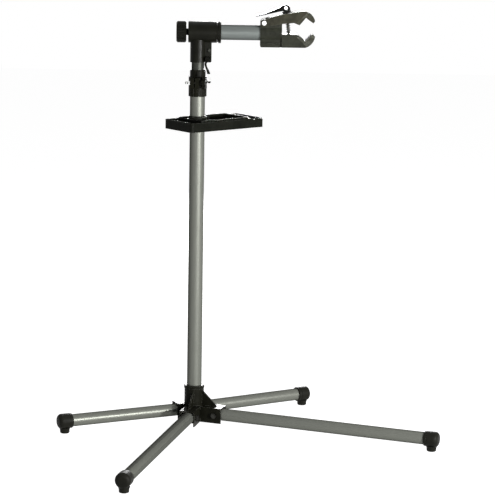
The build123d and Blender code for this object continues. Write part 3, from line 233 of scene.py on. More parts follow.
middle = (cad_low + cad_high) / 2
key_lamp = soft_lamp("key_lamp", (2.35, -2.7, 1.0), middle, 0.36, 185)
front_lamp = soft_lamp("front_lamp", (1.15, -3.5, 0.9), middle, 0.34, 60)
fill_lamp = soft_lamp("fill_lamp", (-1.6, -3.2, 0.7), middle, 1.8, 1)
back_lamp = soft_lamp("back_lamp", (0.35, 3.6, 1.2), middle, 0.8, 150)
top_lamp = soft_lamp("top_lamp", (0.2, 0.4, 3.2), middle, 2.0, 8)
print("lamps:", [lamp.name for lamp in (key_lamp, front_lamp, fill_lamp, back_lamp, top_lamp)])

# %% [markdown]
# ## Effects that finishes share
# Several finishes need the same effects, so each effect is a node group that is
# built once and placed with its own values. A group only hands out masks,
# heights and tones; the shader itself stays in each material.

# %% Helpers for node groups
socket_kinds = {
    "value": "NodeSocketFloat",
    "vector": "NodeSocketVector",
    "count": "NodeSocketInt",
    "object": "NodeSocketObject",
    "material": "NodeSocketMaterial",
    "geometry": "NodeSocketGeometry",
}


def new_group(name, kind, inputs, outputs):
    """Make a node group with named sockets."""
    tree = bpy.data.node_groups.new(name, kind)
    for label, socket_kind, default in inputs:
        socket = tree.interface.new_socket(name=label, in_out="INPUT", socket_type=socket_kinds[socket_kind])
        if default is not None:
            socket.default_value = default
    for label, socket_kind in outputs:
        tree.interface.new_socket(name=label, in_out="OUTPUT", socket_type=socket_kinds[socket_kind])
    return tree, tree.nodes.new("NodeGroupInput"), tree.nodes.new("NodeGroupOutput")


def use_group(tree, group, **values):
    """Place a shader group in a material and set its inputs."""
    return new_node(tree, "ShaderNodeGroup", node_tree=group, **values)


print("kinds of socket:", sorted(socket_kinds))

# %% [markdown]
# ### Mould grain
# Nylon mouldings leave the mould with a fine leathery skin. Plain noise would look
# like dust. Smooth Voronoi cells about half a millimetre wide look like leather,
# and a slow noise gives the uneven tone of the plastic.

# %% Build the grain group
grain_group, grain_in, grain_out = new_group(
    "mould_grain", "ShaderNodeTree",
    [("Grain size", "value", 0.0006), ("Blotch size", "value", 0.03)],
    [("Height", "value"), ("Mottle", "value")],
)
grain_place = new_node(grain_group, "ShaderNodeTexCoord")
grain_scale = new_node(grain_group, "ShaderNodeMath", operation="DIVIDE")
grain_scale.inputs[0].default_value = 1.0
grain_cells = new_node(grain_group, "ShaderNodeTexVoronoi", feature="SMOOTH_F1")
blotch_scale = new_node(grain_group, "ShaderNodeMath", operation="DIVIDE")
blotch_scale.inputs[0].default_value = 1.0
blotches = new_node(grain_group, "ShaderNodeTexNoise", Detail=4.0, Roughness=0.6)
join(
    grain_group,
    (grain_in.outputs["Grain size"], grain_scale.inputs[1]),
    (grain_in.outputs["Blotch size"], blotch_scale.inputs[1]),
    (grain_place.outputs["Object"], grain_cells.inputs["Vector"]),
    (grain_place.outputs["Object"], blotches.inputs["Vector"]),
    (grain_scale.outputs[0], grain_cells.inputs["Scale"]),
    (blotch_scale.outputs[0], blotches.inputs["Scale"]),
    (grain_cells.outputs["Distance"], grain_out.inputs["Height"]),
    (blotches.outputs["Fac"], grain_out.inputs["Mottle"]),
)
print("group:", grain_group.name)

# %% [markdown]
# ### Edge wear and painted edge highlight
# Hands and tools polish the edges of a moulding first. Worn edges could be painted
# by hand, but the Bevel node finds them: it gives the normal of a rounded edge,
# and where that turns away from the true normal there is an edge. A noise breaks
# the wear into patches so it doesn't look drawn. Where a finish gives its edges a
# very pale tone, as on the hub and the tray, the mask also carries a painted
# highlight along the edges.

# %% Build the edge wear and highlight group
wear_and_highlight_group, edge_mask_in, edge_mask_out = new_group(
    "edge_wear", "ShaderNodeTree",
    [("Width", "value", 0.0015), ("Patchiness", "value", 40.0), ("Amount", "value", 0.5)],
    [("Mask", "value")],
)
edge_round_normal = new_node(wear_and_highlight_group, "ShaderNodeBevel", samples=6)
edge_true_normal = new_node(wear_and_highlight_group, "ShaderNodeNewGeometry")
edge_normal_dot = new_node(wear_and_highlight_group, "ShaderNodeVectorMath", operation="DOT_PRODUCT")
edge_ramp = new_node(wear_and_highlight_group, "ShaderNodeMapRange", From_Min=0.985, From_Max=0.86)
edge_place = new_node(wear_and_highlight_group, "ShaderNodeTexCoord")
edge_patches = new_node(wear_and_highlight_group, "ShaderNodeTexNoise", Detail=3.0, Roughness=0.65)
edge_patch_ramp = new_node(wear_and_highlight_group, "ShaderNodeMapRange", From_Min=0.40, From_Max=0.62)
edge_product = new_node(wear_and_highlight_group, "ShaderNodeMath", operation="MULTIPLY")
edge_amount = new_node(wear_and_highlight_group, "ShaderNodeMath", operation="MULTIPLY", use_clamp=True)
join(
    wear_and_highlight_group,
    (edge_mask_in.outputs["Width"], edge_round_normal.inputs["Radius"]),
    (edge_round_normal.outputs["Normal"], edge_normal_dot.inputs[0]),
    (edge_true_normal.outputs["Normal"], edge_normal_dot.inputs[1]),
    (edge_normal_dot.outputs["Value"], edge_ramp.inputs["Value"]),
    (edge_place.outputs["Object"], edge_patches.inputs["Vector"]),
    (edge_mask_in.outputs["Patchiness"], edge_patches.inputs["Scale"]),
    (edge_patches.outputs["Fac"], edge_patch_ramp.inputs["Value"]),
    (edge_ramp.outputs["Result"], edge_product.inputs[0]),
    (edge_patch_ramp.outputs["Result"], edge_product.inputs[1]),
    (edge_product.outputs[0], edge_amount.inputs[0]),
    (edge_mask_in.outputs["Amount"], edge_amount.inputs[1]),
    (edge_amount.outputs[0], edge_mask_out.inputs["Mask"]),
)
print("group:", wear_and_highlight_group.name)

# %% [markdown]
# ### Handling marks
# Smudges and drawing lines change the gloss more than the colour. One stretched
# noise does both: equal stretch gives smudges, a long stretch along the tube
# gives the fine lines that drawing leaves in aluminium.

# %% Build the marks group
marks_group, marks_in, marks_out = new_group(
    "handling_marks", "ShaderNodeTree",
    [
        ("Size", "value", 0.05), ("Stretch", "vector", (1, 1, 1)),
        ("Low", "value", 0.4), ("High", "value", 0.55),
    ],
    [("Gloss", "value"), ("Mask", "value")],
)
marks_place = new_node(marks_group, "ShaderNodeTexCoord")
marks_stretch = new_node(marks_group, "ShaderNodeVectorMath", operation="MULTIPLY")
marks_scale = new_node(marks_group, "ShaderNodeMath", operation="DIVIDE")
marks_scale.inputs[0].default_value = 1.0
marks_noise = new_node(marks_group, "ShaderNodeTexNoise", Detail=6.0, Roughness=0.62)
marks_range = new_node(marks_group, "ShaderNodeMapRange", From_Min=0.3, From_Max=0.7)
join(
    marks_group,
    (marks_place.outputs["Object"], marks_stretch.inputs[0]),
    (marks_in.outputs["Stretch"], marks_stretch.inputs[1]),
    (marks_stretch.outputs[0], marks_noise.inputs["Vector"]),
    (marks_in.outputs["Size"], marks_scale.inputs[1]),
    (marks_scale.outputs[0], marks_noise.inputs["Scale"]),
    (marks_noise.outputs["Fac"], marks_range.inputs["Value"]),
    (marks_in.outputs["Low"], marks_range.inputs["To Min"]),
    (marks_in.outputs["High"], marks_range.inputs["To Max"]),
    (marks_range.outputs["Result"], marks_out.inputs["Gloss"]),
    (marks_noise.outputs["Fac"], marks_out.inputs["Mask"]),
)
print("group:", marks_group.name)

# %% [markdown]
# ## Finishes
# Each finish starts from one Principled shader with a bump node on its normal.
# The shader's own sockets hold what is the same all over. The groups drive what
# changes over the surface: its tone, its gloss and the height of its grain.

# %% Helpers for finishes
def new_finish(name, bump_strength, bump_distance, **sockets):
    """Material with one Principled shader and a bump node on its normal."""
    material = bpy.data.materials.new(name)
    material.use_nodes = True
    tree = material.node_tree
    tree.nodes.clear()
    shader = new_node(tree, "ShaderNodeBsdfPrincipled", **sockets)
    bump = new_node(tree, "ShaderNodeBump", Strength=bump_strength, Distance=bump_distance)
    out = new_node(tree, "ShaderNodeOutputMaterial")
    join(tree, (bump.outputs["Normal"], shader.inputs["Normal"]), (shader.outputs[0], out.inputs["Surface"]))
    return material, tree, shader, bump


def drive(tree, shader, bump, tone, gloss, height):
    """Let sockets of the groups drive colour, roughness and bump of a finish."""
    join(
        tree,
        (tone, shader.inputs["Base Color"]),
        (gloss, shader.inputs["Roughness"]),
        (height, bump.inputs["Height"]),
    )


def two_tones(tree, factor, first, second):
    """Colour that goes from a first tone to a second with a factor."""
    mix = new_node(tree, "ShaderNodeMix", data_type="RGBA")
    for slot, tone in ((6, first), (7, second)):
        if isinstance(tone, tuple):
            mix.inputs[slot].default_value = (*tone, 1)
        else:
            join(tree, (tone, mix.inputs[slot]))
    join(tree, (factor, mix.inputs["Factor"]))
    return mix.outputs[2]


print("helpers: new_finish, drive, two_tones")

# %% [markdown]
# ### Moulded nylon and rubber
# The hub, the head, the knobs, the tray and the feet are black mouldings that
# differ in gloss, grain and wear. A flat image of plastic would stretch over
# their curves, so one function builds the finish from noise: the grain drives
# the bump, the mottle the tone, the marks the gloss, and the edges go paler.
# On most parts the pale edge is wear; on the hub and the tray it is also a
# painted highlight along the edges.

# %% Make a moulded finish
bump_share = 0.4


def moulded(name, dark, light, edge_tone, rough, grain, depth, edge_share, shine=0.3, blotch=0.03):
    """Grained moulding with a mottled tone and paler edges."""
    material, tree, shader, bump = new_finish(name, depth, grain * bump_share, Specular_IOR_Level=shine)
    skin = use_group(tree, grain_group, Grain_size=grain, Blotch_size=blotch)
    edges = use_group(tree, wear_and_highlight_group, Width=0.0012, Patchiness=55.0, Amount=edge_share)
    marks = use_group(tree, marks_group, Size=0.045, Low=rough - 0.07, High=rough + 0.09)
    base = two_tones(tree, skin.outputs["Mottle"], dark, light)
    tone = two_tones(tree, edges.outputs["Mask"], base, edge_tone)
    drive(tree, shader, bump, tone, marks.outputs["Gloss"], skin.outputs["Height"])
    return material


print("helper: moulded")

# %% [markdown]
# ### Black nylon
# The black mouldings look alike from afar but not close by. The hub and the tray
# have pale edges, partly wear and partly a painted highlight along their edges;
# the head is a little glossier, and the knobs have the coarsest skin, for grip.
# One shared black would lose this, so each is a call of its own with its own
# numbers.

# %% Mix the nylons
near_black = (0.001, 0.001, 0.0006)
# The pale edge tone of the hub is partly wear and partly a painted highlight.
hub_nylon = moulded(
    "hub_nylon", dark=near_black, light=(0.012, 0.012, 0.008), edge_tone=(0.17, 0.17, 0.15),
    rough=0.36, grain=0.0007, depth=0.25, edge_share=0.9, shine=0.04, blotch=0.02,
)
head_nylon = moulded(
    "head_nylon", dark=near_black, light=(0.009, 0.009, 0.006), edge_tone=(0.05, 0.05, 0.04),
    rough=0.32, grain=0.0007, depth=0.20, edge_share=0.35, shine=0.07,
)
collar_nylon = moulded(
    "collar_nylon", dark=near_black, light=(0.009, 0.009, 0.005), edge_tone=(0.045, 0.045, 0.035),
    rough=0.42, grain=0.0007, depth=0.25, edge_share=0.45, shine=0.05,
)
knob_nylon = moulded(
    "knob_nylon", dark=near_black, light=(0.007, 0.007, 0.005), edge_tone=(0.045, 0.045, 0.035),
    rough=0.42, grain=0.0009, depth=0.35, edge_share=0.45, shine=0.05,
)
# The very pale edge tone of the tray is partly wear and partly a painted highlight on its rims and corners.
tray_plastic = moulded(
    "tray_plastic", dark=near_black, light=(0.011, 0.012, 0.009), edge_tone=(0.30, 0.30, 0.27),
    rough=0.30, grain=0.0008, depth=0.25, edge_share=1.0, shine=0.03, blotch=0.05,
)
print("nylons: hub_nylon, head_nylon, collar_nylon, knob_nylon, tray_plastic")

# %% [markdown]
# ### Painted jaws and rubber
# The jaws are castings under a thick paint with a coarse skin, and the studs of
# their grip are rubbed paler. The pads and the feet are rubber, which hardly
# shines. Paint and rubber differ from nylon only in tone, grain and gloss, so the
# same function makes them.

# %% Mix the paints and rubbers
rubber_black = (0.004, 0.004, 0.003)
jaw_paint = moulded(
    "jaw_paint", dark=(0.002, 0.002, 0.001), light=(0.054, 0.052, 0.036), edge_tone=(0.12, 0.12, 0.10),
    rough=0.50, grain=0.0016, depth=0.9, edge_share=0.6, shine=0.06, blotch=0.016,
)
clamp_paint = moulded(
    "clamp_paint", dark=near_black, light=(0.034, 0.036, 0.026), edge_tone=(0.10, 0.10, 0.085),
    rough=0.48, grain=0.0016, depth=0.9, edge_share=0.6, shine=0.06, blotch=0.018,
)
hatch_paint = moulded(
    "hatch_paint", dark=(0.022, 0.022, 0.015), light=(0.075, 0.074, 0.056), edge_tone=(0.20, 0.20, 0.17),
    rough=0.45, grain=0.0016, depth=0.7, edge_share=0.8, shine=0.06, blotch=0.010,
)
foot_rubber = moulded(
    "foot_rubber", dark=rubber_black, light=(0.012, 0.012, 0.009), edge_tone=(0.045, 0.045, 0.040),
    rough=0.50, grain=0.0006, depth=0.3, edge_share=0.25, shine=0.06,
)
pad_rubber = moulded(
    "pad_rubber", dark=rubber_black, light=(0.010, 0.010, 0.008), edge_tone=(0.04, 0.04, 0.035),
    rough=0.7, grain=0.0008, depth=0.5, edge_share=0.3, shine=0.05,
)
print("paints and rubbers: jaw_paint, clamp_paint, hatch_paint, foot_rubber, pad_rubber")

# %% [markdown]
# ### Satin tubes
# The mast, the arm and the legs are anodised aluminium: metal under a matt stained
# skin. A fully metallic shader would mirror the white air and lose the dark
# sides, so this one is less than half metallic over a grey base. Its specular
# tint is dark, which dims the reflection where the tube turns away from the eye.
# Fine lines run along each tube, so the noise is squeezed across it and drawn
# out along it.

# %% Make the tube finishes
squeezed, drawn = 6, 0.4


def satin_tube(name, stretch, low, high):
    """Satin aluminium whose fine lines run along the tube."""
    material, tree, shader, bump = new_finish(
        name, 0.05, 0.0002, Metallic=0.42, Specular_Tint=(0.05, 0.05, 0.05, 1), Specular_IOR_Level=0.0
    )
    marks = use_group(tree, marks_group, Size=0.02, Stretch=stretch, Low=0.34, High=0.42)
    edges = use_group(tree, wear_and_highlight_group, Width=0.001, Patchiness=60.0, Amount=0.5)
    base = two_tones(tree, marks.outputs["Mask"], low, high)
    tone = two_tones(tree, edges.outputs["Mask"], base, (0.45, 0.46, 0.45))
    drive(tree, shader, bump, tone, marks.outputs["Gloss"], marks.outputs["Mask"])
    return material


tube_low, tube_high = (0.114, 0.118, 0.104), (0.158, 0.163, 0.144)
upright = (squeezed, squeezed, drawn)
mast_satin = satin_tube("mast_satin", upright, tube_low, tube_high)
arm_satin = satin_tube(
    "arm_satin", (drawn, squeezed, squeezed), (0.108, 0.119, 0.114), (0.150, 0.164, 0.157)
)
# The inner tube takes the same satin at about a third of the brightness: painted shade and painted dark
# reflection from the head and the collar around it.
inner_satin = satin_tube("inner_satin", upright, (0.03, 0.031, 0.028), (0.05, 0.052, 0.046))


def leg_heading(leg):
    """Unit vector along a leg, square to the axis it folds about."""
    axis = joints[leg + "_leg_fold"]["axis"]
    return Vector((axis[1], -axis[0], 0.0))


leg_satin = {}
for leg in ("front_left", "front_right", "rear_left", "rear_right"):
    along = leg_heading(leg)
    relief = squeezed - drawn
    stretch = (squeezed - relief * abs(along.x), squeezed - relief * abs(along.y), squeezed)
    leg_satin[leg] = satin_tube(leg + "_satin", stretch, tube_low, tube_high)
print("tube finishes:", 3 + len(leg_satin))

# %% [markdown]
# ### Steel
# Bolts and nuts are zinc plated; the clamp rod, the spring and the hinge bolts
# are darkened. All are fully metallic, with small turning marks that change gloss
# and height. One function takes the tone and the gloss, so each kind of steel
# takes a single line.

# %% Make the steel finishes
dull_share, bare_share = 0.82, 1.3


def plated_steel(name, tone, rough):
    """Plated steel with faint turning marks."""
    material, tree, shader, bump = new_finish(name, 0.06, 0.0001, Metallic=1.0)
    marks = use_group(tree, marks_group, Size=0.004, Low=rough - 0.05, High=rough + 0.12)
    edges = use_group(tree, wear_and_highlight_group, Width=0.0006, Patchiness=90.0, Amount=0.5)
    dull_tone = tuple(part * dull_share for part in tone)
    bare_tone = tuple(min(1.0, part * bare_share) for part in tone)
    base = two_tones(tree, marks.outputs["Mask"], dull_tone, tone)
    edge_tone = two_tones(tree, edges.outputs["Mask"], base, bare_tone)
    drive(tree, shader, bump, edge_tone, marks.outputs["Gloss"], marks.outputs["Mask"])
    return material


zinc_steel = plated_steel("zinc_steel", (0.86, 0.87, 0.86), 0.22)
rod_steel = plated_steel("rod_steel", (0.09, 0.09, 0.08), 0.34)
spring_steel = plated_steel("spring_steel", (0.03, 0.03, 0.025), 0.34)
black_steel = plated_steel("black_steel", (0.045, 0.045, 0.04), 0.35)
print("steel finishes: zinc_steel, rod_steel, spring_steel, black_steel")

# %% [markdown]
# ### Black lever
# The cam lever of the jaws is glossy black all over. It is a moulding too, so the
# same function serves, with less roughness and a shallow grain.

# %% Mix the lever black
lever_black = moulded(
    "lever_black", dark=(0.002, 0.002, 0.0015), light=(0.005, 0.005, 0.004), edge_tone=(0.05, 0.05, 0.04),
    rough=0.28, grain=0.0008, depth=0.12, edge_share=0.35, shine=0.04,
)
print("lever finish:", lever_black.name)

# %% [markdown]
# ### Two-tone lever
# The small lever under the head is black at its root and at its tip, and
# polished in between. Two materials on one mesh would need its faces cut at the
# borders. Instead, a mask changes with height along the lever. Object
# coordinates ride with the lever, so the bright part stays in place when it
# swings.

# %% Polish the middle of a lever
paddle_top, paddle_bottom, half_step = 0.919, 0.9005, 0.0003


def height_step(tree, separate, height, rising):
    """Mask that changes over 0.6 mm at a height."""
    half = half_step if rising else -half_step
    step = new_node(tree, "ShaderNodeMapRange", From_Min=height - half, From_Max=height + half)
    join(tree, (separate.outputs["Z"], step.inputs["Value"]))
    return step.outputs["Result"]


lever_two_tone = lever_black.copy()
lever_two_tone.name = "lever_two_tone"
lever_tree = lever_two_tone.node_tree
lever_shader = next(node for node in lever_tree.nodes if node.type == "BSDF_PRINCIPLED")
lever_place = new_node(lever_tree, "ShaderNodeTexCoord")
lever_height = new_node(lever_tree, "ShaderNodeSeparateXYZ")
paddle = new_node(lever_tree, "ShaderNodeMath", operation="MULTIPLY")
join(
    lever_tree,
    (lever_place.outputs["Object"], lever_height.inputs[0]),
    (height_step(lever_tree, lever_height, paddle_top, False), paddle.inputs[0]),
    (height_step(lever_tree, lever_height, paddle_bottom, True), paddle.inputs[1]),
)
black_tone = lever_shader.inputs["Base Color"].links[0].from_socket
black_gloss = lever_shader.inputs["Roughness"].links[0].from_socket
polish = use_group(lever_tree, marks_group, Size=0.006, Low=0.10, High=0.24)
gloss_mix = new_node(lever_tree, "ShaderNodeMix", data_type="FLOAT")
lever_tone = two_tones(lever_tree, paddle.outputs[0], black_tone, (0.85, 0.86, 0.85))
join(
    lever_tree,
    (lever_tone, lever_shader.inputs["Base Color"]),
    (paddle.outputs[0], gloss_mix.inputs["Factor"]),
    (black_gloss, gloss_mix.inputs[2]),
    (polish.outputs["Gloss"], gloss_mix.inputs[3]),
    (gloss_mix.outputs[0], lever_shader.inputs["Roughness"]),
    (paddle.outputs[0], lever_shader.inputs["Metallic"]),
)
print("lever finish:", lever_two_tone.name)

# %% [markdown]
# ## Dress the model
# Each node of the model keeps its mesh and gets a finish in its material slot.
# A dictionary from finish to nodes reads like a shopping list and makes a
# forgotten node easy to find.

# %% Give each node its finish
finish_of = {
    hub_nylon: ["base_hub"],
    head_nylon: ["head_tee", "arm_collar", "arm_plug"],
    collar_nylon: ["height_collar", "collar_bush", "upper_tube_foot"],
    knob_nylon: ["collar_knob", "swivel_knob", "tray_screw", "tray_bush", "cam_saddle"],
    jaw_paint: ["upper_jaw"],
    clamp_paint: ["clamp_body"],
    pad_rubber: ["lower_pad_rear", "lower_pad_front", "upper_pad_rear", "upper_pad_front"],
    tray_plastic: ["tool_tray"],
    mast_satin: ["lower_tube"],
    inner_satin: ["upper_tube"],
    arm_satin: ["arm_tube"],
    zinc_steel: [
        "mast_screw", "collar_nut", "release_rod", "release_nut", "release_pin", "swivel_stud",
        "clamp_screws", "jaw_pivot_bolt", "jaw_pivot_nut", "spring_washer", "barrel_nut",
    ],
    rod_steel: ["clamp_rod", "rod_nut", "collar_bolt"],
    black_steel: ["leg_hinge_bolts", "leg_hinge_nuts", "pinch_bolt", "pinch_nut"],
    spring_steel: ["jaw_spring"],
    lever_black: ["cam_lever"],
    lever_two_tone: ["release_lever"],
    foot_rubber: [leg + "_leg_cap" for leg in leg_satin],
}
finish_of[hub_nylon] += [leg + "_leg_plug" for leg in leg_satin]
finish_of.update({leg_satin[leg]: [leg + "_leg_tube"] for leg in leg_satin})

for finish, names in finish_of.items():
    for name in names:
        if not nodes[name].material_slots:
            nodes[name].data.materials.append(finish)
        for material_slot in nodes[name].material_slots:
            material_slot.material = finish
dressed = {name for names in finish_of.values() for name in names}
print("undressed nodes:", sorted(set(nodes) - dressed))

# %% [markdown]
# ## Growing small parts
# Threads, studs and beads repeat by a rule. They could be placed by hand or by
# loops in code, but Geometry Nodes grow them with sizes that stay easy to
# change, because each tree has named inputs. One helper sets the inputs, takes
# the grown shape as a plain mesh and lets it ride on a body of the stand.

# %% Grow a piece from a tree
def grow(name, tree, body, slot, **values):
    """Evaluate a tree with its inputs set and keep the result as a plain mesh."""
    seed = bpy.data.objects.new(name + "_seed", bpy.data.meshes.new(name + "_seed"))
    scene.collection.objects.link(seed)
    modifier = seed.modifiers.new("grow", "NODES")
    modifier.node_group = tree
    for item in tree.interface.items_tree:
        label = item.name.replace(" ", "_")
        if item.item_type == "SOCKET" and item.in_out == "INPUT" and label in values:
            modifier[item.identifier] = values[label]
    grown = seed.evaluated_get(bpy.context.evaluated_depsgraph_get())
    mesh = bpy.data.meshes.new_from_object(grown)
    bpy.data.objects.remove(seed)
    mesh.name = name
    piece = bpy.data.objects.new(name, mesh)
    scene.collection.objects.link(piece)
    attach(piece, body)
    print(name, len(mesh.polygons), "faces")
    return piece


def finish_tree(tree, shape, group_in, group_out):
    """Turn a shape, stand it on its foot along its axis, realize it and give it its material."""
    heading = new_node(tree, "ShaderNodeCombineXYZ")
    spin = new_node(tree, "GeometryNodeTransform")
    turn = new_node(tree, "FunctionNodeAlignRotationToVector", axis="Z")
    place = new_node(tree, "GeometryNodeTransform")
    real = new_node(tree, "GeometryNodeRealizeInstances")
    paint = new_node(tree, "GeometryNodeSetMaterial")
    join(
        tree,
        (group_in.outputs["Heading"], heading.inputs["Z"]),
        (heading.outputs[0], spin.inputs["Rotation"]),
        (shape, spin.inputs["Geometry"]),
        (group_in.outputs["Axis"], turn.inputs["Vector"]),
        (turn.outputs[0], place.inputs["Rotation"]),
        (group_in.outputs["Foot"], place.inputs["Translation"]),
        (spin.outputs[0], place.inputs["Geometry"]),
        (place.outputs[0], real.inputs[0]),
        (real.outputs[0], paint.inputs["Geometry"]),
        (group_in.outputs["Finish"], paint.inputs["Material"]),
        (paint.outputs[0], group_out.inputs["Geometry"]),
    )


placing = [
    ("Geometry", "geometry", None), ("Foot", "vector", (0, 0, 0)), ("Axis", "vector", (0, 0, 1)),
    ("Heading", "value", 0.0), ("Finish", "material", None),
]
print("inputs that place a piece:", [label for label, kind, default in placing])

# %% [markdown]
# ### Screw threads
# A thread is a ridge that winds around a rod. A Screw modifier could turn it, but
# a spiral curve with a small round profile swept along it takes its length and
# pitch as inputs, and the number of turns follows from them. Half of the profile
# is buried in the rod.

# %% Build the thread tree
thread_tree, thread_in, thread_out = new_group(
    "screw_thread", "GeometryNodeTree",
    placing + [
        ("Length", "value", 0.01), ("Radius", "value", 0.003),
        ("Pitch", "value", 0.001), ("Ridge", "value", 0.0003),
    ],
    [("Geometry", "geometry")],
)
thread_turns = new_node(thread_tree, "ShaderNodeMath", operation="DIVIDE")
thread_path = new_node(thread_tree, "GeometryNodeCurveSpiral", Resolution=24)
thread_ridge = new_node(thread_tree, "GeometryNodeCurvePrimitiveCircle", Resolution=6)
thread_sweep = new_node(thread_tree, "GeometryNodeCurveToMesh", Fill_Caps=True)
join(
    thread_tree,
    (thread_in.outputs["Length"], thread_turns.inputs[0]),
    (thread_in.outputs["Pitch"], thread_turns.inputs[1]),
    (thread_turns.outputs[0], thread_path.inputs["Rotations"]),
    (thread_in.outputs["Radius"], thread_path.inputs["Start Radius"]),
    (thread_in.outputs["Radius"], thread_path.inputs["End Radius"]),
    (thread_in.outputs["Length"], thread_path.inputs["Height"]),
    (thread_in.outputs["Ridge"], thread_ridge.inputs["Radius"]),
    (thread_path.outputs[0], thread_sweep.inputs["Curve"]),
    (thread_ridge.outputs[0], thread_sweep.inputs["Profile Curve"]),
)
finish_tree(thread_tree, thread_sweep.outputs[0], thread_in, thread_out)
print("tree:", thread_tree.name)

# %% [markdown]
# ### Two threads in view
# The clamp rod shows its thread in the open mouth of the jaws, and the collar
# bolt shows the end of its thread beyond the nut. The other threads are hidden,
# so only these two are cut. Their places come from the joints beside them, so
# they follow the stand if its sizes change.

# %% Cut the threads
coarse = {"Radius": 0.003, "Pitch": 0.0011, "Ridge": 0.00028}
rod_axis = Vector(joints["jaw_adjust"]["axis"])
cam_pin = Vector(joints["cam_lever_turn"]["pos_m"])
pin_above_flat, thread_above_flat = 0.0669, 0.001
rod_foot = cam_pin - rod_axis * (pin_above_flat - thread_above_flat)
grow(
    "clamp_rod_thread", thread_tree, "arm", "steel", Foot=rod_foot, Axis=rod_axis,
    Length=0.040, Finish=rod_steel, **coarse,
)
bolt_axis = Vector(joints["collar_knob_turn"]["axis"])
bolt_middle = Vector(joints["collar_knob_turn"]["pos_m"])
middle_to_nut = 0.0173
bolt_foot = bolt_middle - bolt_axis * middle_to_nut
grow(
    "collar_bolt_thread", thread_tree, "base", "steel", Foot=bolt_foot, Axis=-bolt_axis,
    Length=0.0078, Finish=zinc_steel, **coarse,
)

# %% [markdown]
# ### Rims of the tray
# The real tray is moulded with a rolled rim, which stiffens its thin walls and
# is kind to the hand. Three loops need such a bead: the outer wall, the well and
# the sleeve round the mast. One tree draws a rectangle, rounds its corners and
# sweeps a small circle along it. With corners as large as half its side the
# rectangle turns into the sleeve's circle.

# %% Build the bead tree
bead_tree, bead_in, bead_out = new_group(
    "rim_bead", "GeometryNodeTree",
    placing + [
        ("Length", "value", 0.2), ("Width", "value", 0.1),
        ("Corner", "value", 0.007), ("Bead", "value", 0.001),
    ],
    [("Geometry", "geometry")],
)
bead_loop = new_node(bead_tree, "GeometryNodeCurvePrimitiveQuadrilateral")
bead_corners = new_node(bead_tree, "GeometryNodeFilletCurve", mode="POLY", Count=12)
bead_section = new_node(bead_tree, "GeometryNodeCurvePrimitiveCircle", Resolution=10)
bead_sweep = new_node(bead_tree, "GeometryNodeCurveToMesh")
join(
    bead_tree,
    (bead_in.outputs["Length"], bead_loop.inputs["Width"]),
    (bead_in.outputs["Width"], bead_loop.inputs["Height"]),
    (bead_loop.outputs[0], bead_corners.inputs["Curve"]),
    (bead_in.outputs["Corner"], bead_corners.inputs["Radius"]),
    (bead_in.outputs["Bead"], bead_section.inputs["Radius"]),
    (bead_corners.outputs[0], bead_sweep.inputs["Curve"]),
    (bead_section.outputs[0], bead_sweep.inputs["Profile Curve"]),
)
finish_tree(bead_tree, bead_sweep.outputs[0], bead_in, bead_out)
print("tree:", bead_tree.name)

# %% [markdown]
# ### Three beads
# The tray turns about the mast, so its beads are placed from that joint: a
# distance ahead of the mast along the tray and a rise above its rim. A loop over
# three rows of sizes makes the outer rim, the rim of the well and the ring on
# the sleeve, and all three ride on the tray.

# %% Roll the rims
tray_heading = radians(38.0)
tray_ahead = Vector((cos(tray_heading), sin(tray_heading), 0.0))
tray_rim = Vector(joints["tray_turn"]["pos_m"])
lift = Vector((0.0, 0.0, 1.0))
for name, ahead_of_mast, rise, length, width, corner, bead in (
    ("tray_rim_bead", 0.0555, 0.0, 0.2336, 0.1136, 0.0063, 0.0011),
    ("well_rim_bead", 0.0530, 0.004, 0.1538, 0.0968, 0.0060, 0.0010),
    ("tray_sleeve_bead", 0.0, 0.009, 0.0462, 0.0462, 0.0230, 0.0009),
):
    foot = tray_rim + tray_ahead * ahead_of_mast + lift * rise
    grow(
        name, bead_tree, "tray", "tray", Foot=foot, Heading=tray_heading,
        Length=length, Width=width, Corner=corner, Bead=bead, Finish=tray_plastic,
    )

# %% [markdown]
# ### Knurled nut
# The small nut on the release rod is turned by hand, so its rim is knurled. Bump
# alone would leave its outline smooth. So a ring of slim three-sided ridges
# stands on the rim, each buried to half its depth. The count is an input, and a
# coarser grip is one number away.

# %% Build the knurl tree
knurl_tree, knurl_in, knurl_out = new_group(
    "knurl_ring", "GeometryNodeTree",
    placing + [
        ("Count", "count", 24), ("Radius", "value", 0.007),
        ("Height", "value", 0.004), ("Ridge", "value", 0.0006),
    ],
    [("Geometry", "geometry")],
)
knurl_ring = new_node(knurl_tree, "GeometryNodeMeshCircle")
knurl_ridge = new_node(knurl_tree, "GeometryNodeMeshCone", Vertices=3)
knurl_taper = new_node(knurl_tree, "ShaderNodeMath", operation="MULTIPLY")
knurl_taper.inputs[1].default_value = 0.8
knurl_set = new_node(knurl_tree, "GeometryNodeInstanceOnPoints")
join(
    knurl_tree,
    (knurl_in.outputs["Count"], knurl_ring.inputs["Vertices"]),
    (knurl_in.outputs["Radius"], knurl_ring.inputs["Radius"]),
    (knurl_in.outputs["Height"], knurl_ridge.inputs["Depth"]),
    (knurl_in.outputs["Ridge"], knurl_ridge.inputs["Radius Bottom"]),
    (knurl_in.outputs["Ridge"], knurl_taper.inputs[0]),
    (knurl_taper.outputs[0], knurl_ridge.inputs["Radius Top"]),
    (knurl_ring.outputs[0], knurl_set.inputs["Points"]),
    (knurl_ridge.outputs[0], knurl_set.inputs["Instance"]),
)
finish_tree(knurl_tree, knurl_set.outputs[0], knurl_in, knurl_out)
print("tree:", knurl_tree.name)

# %% [markdown]
# ### The nut in its place
# The nut lies on its side, so the ring is grown along the cross direction. The
# box of the nut in the model gives its middle and its near face, and the ring
# starts a little way in from that face, as a rolling tool leaves it.

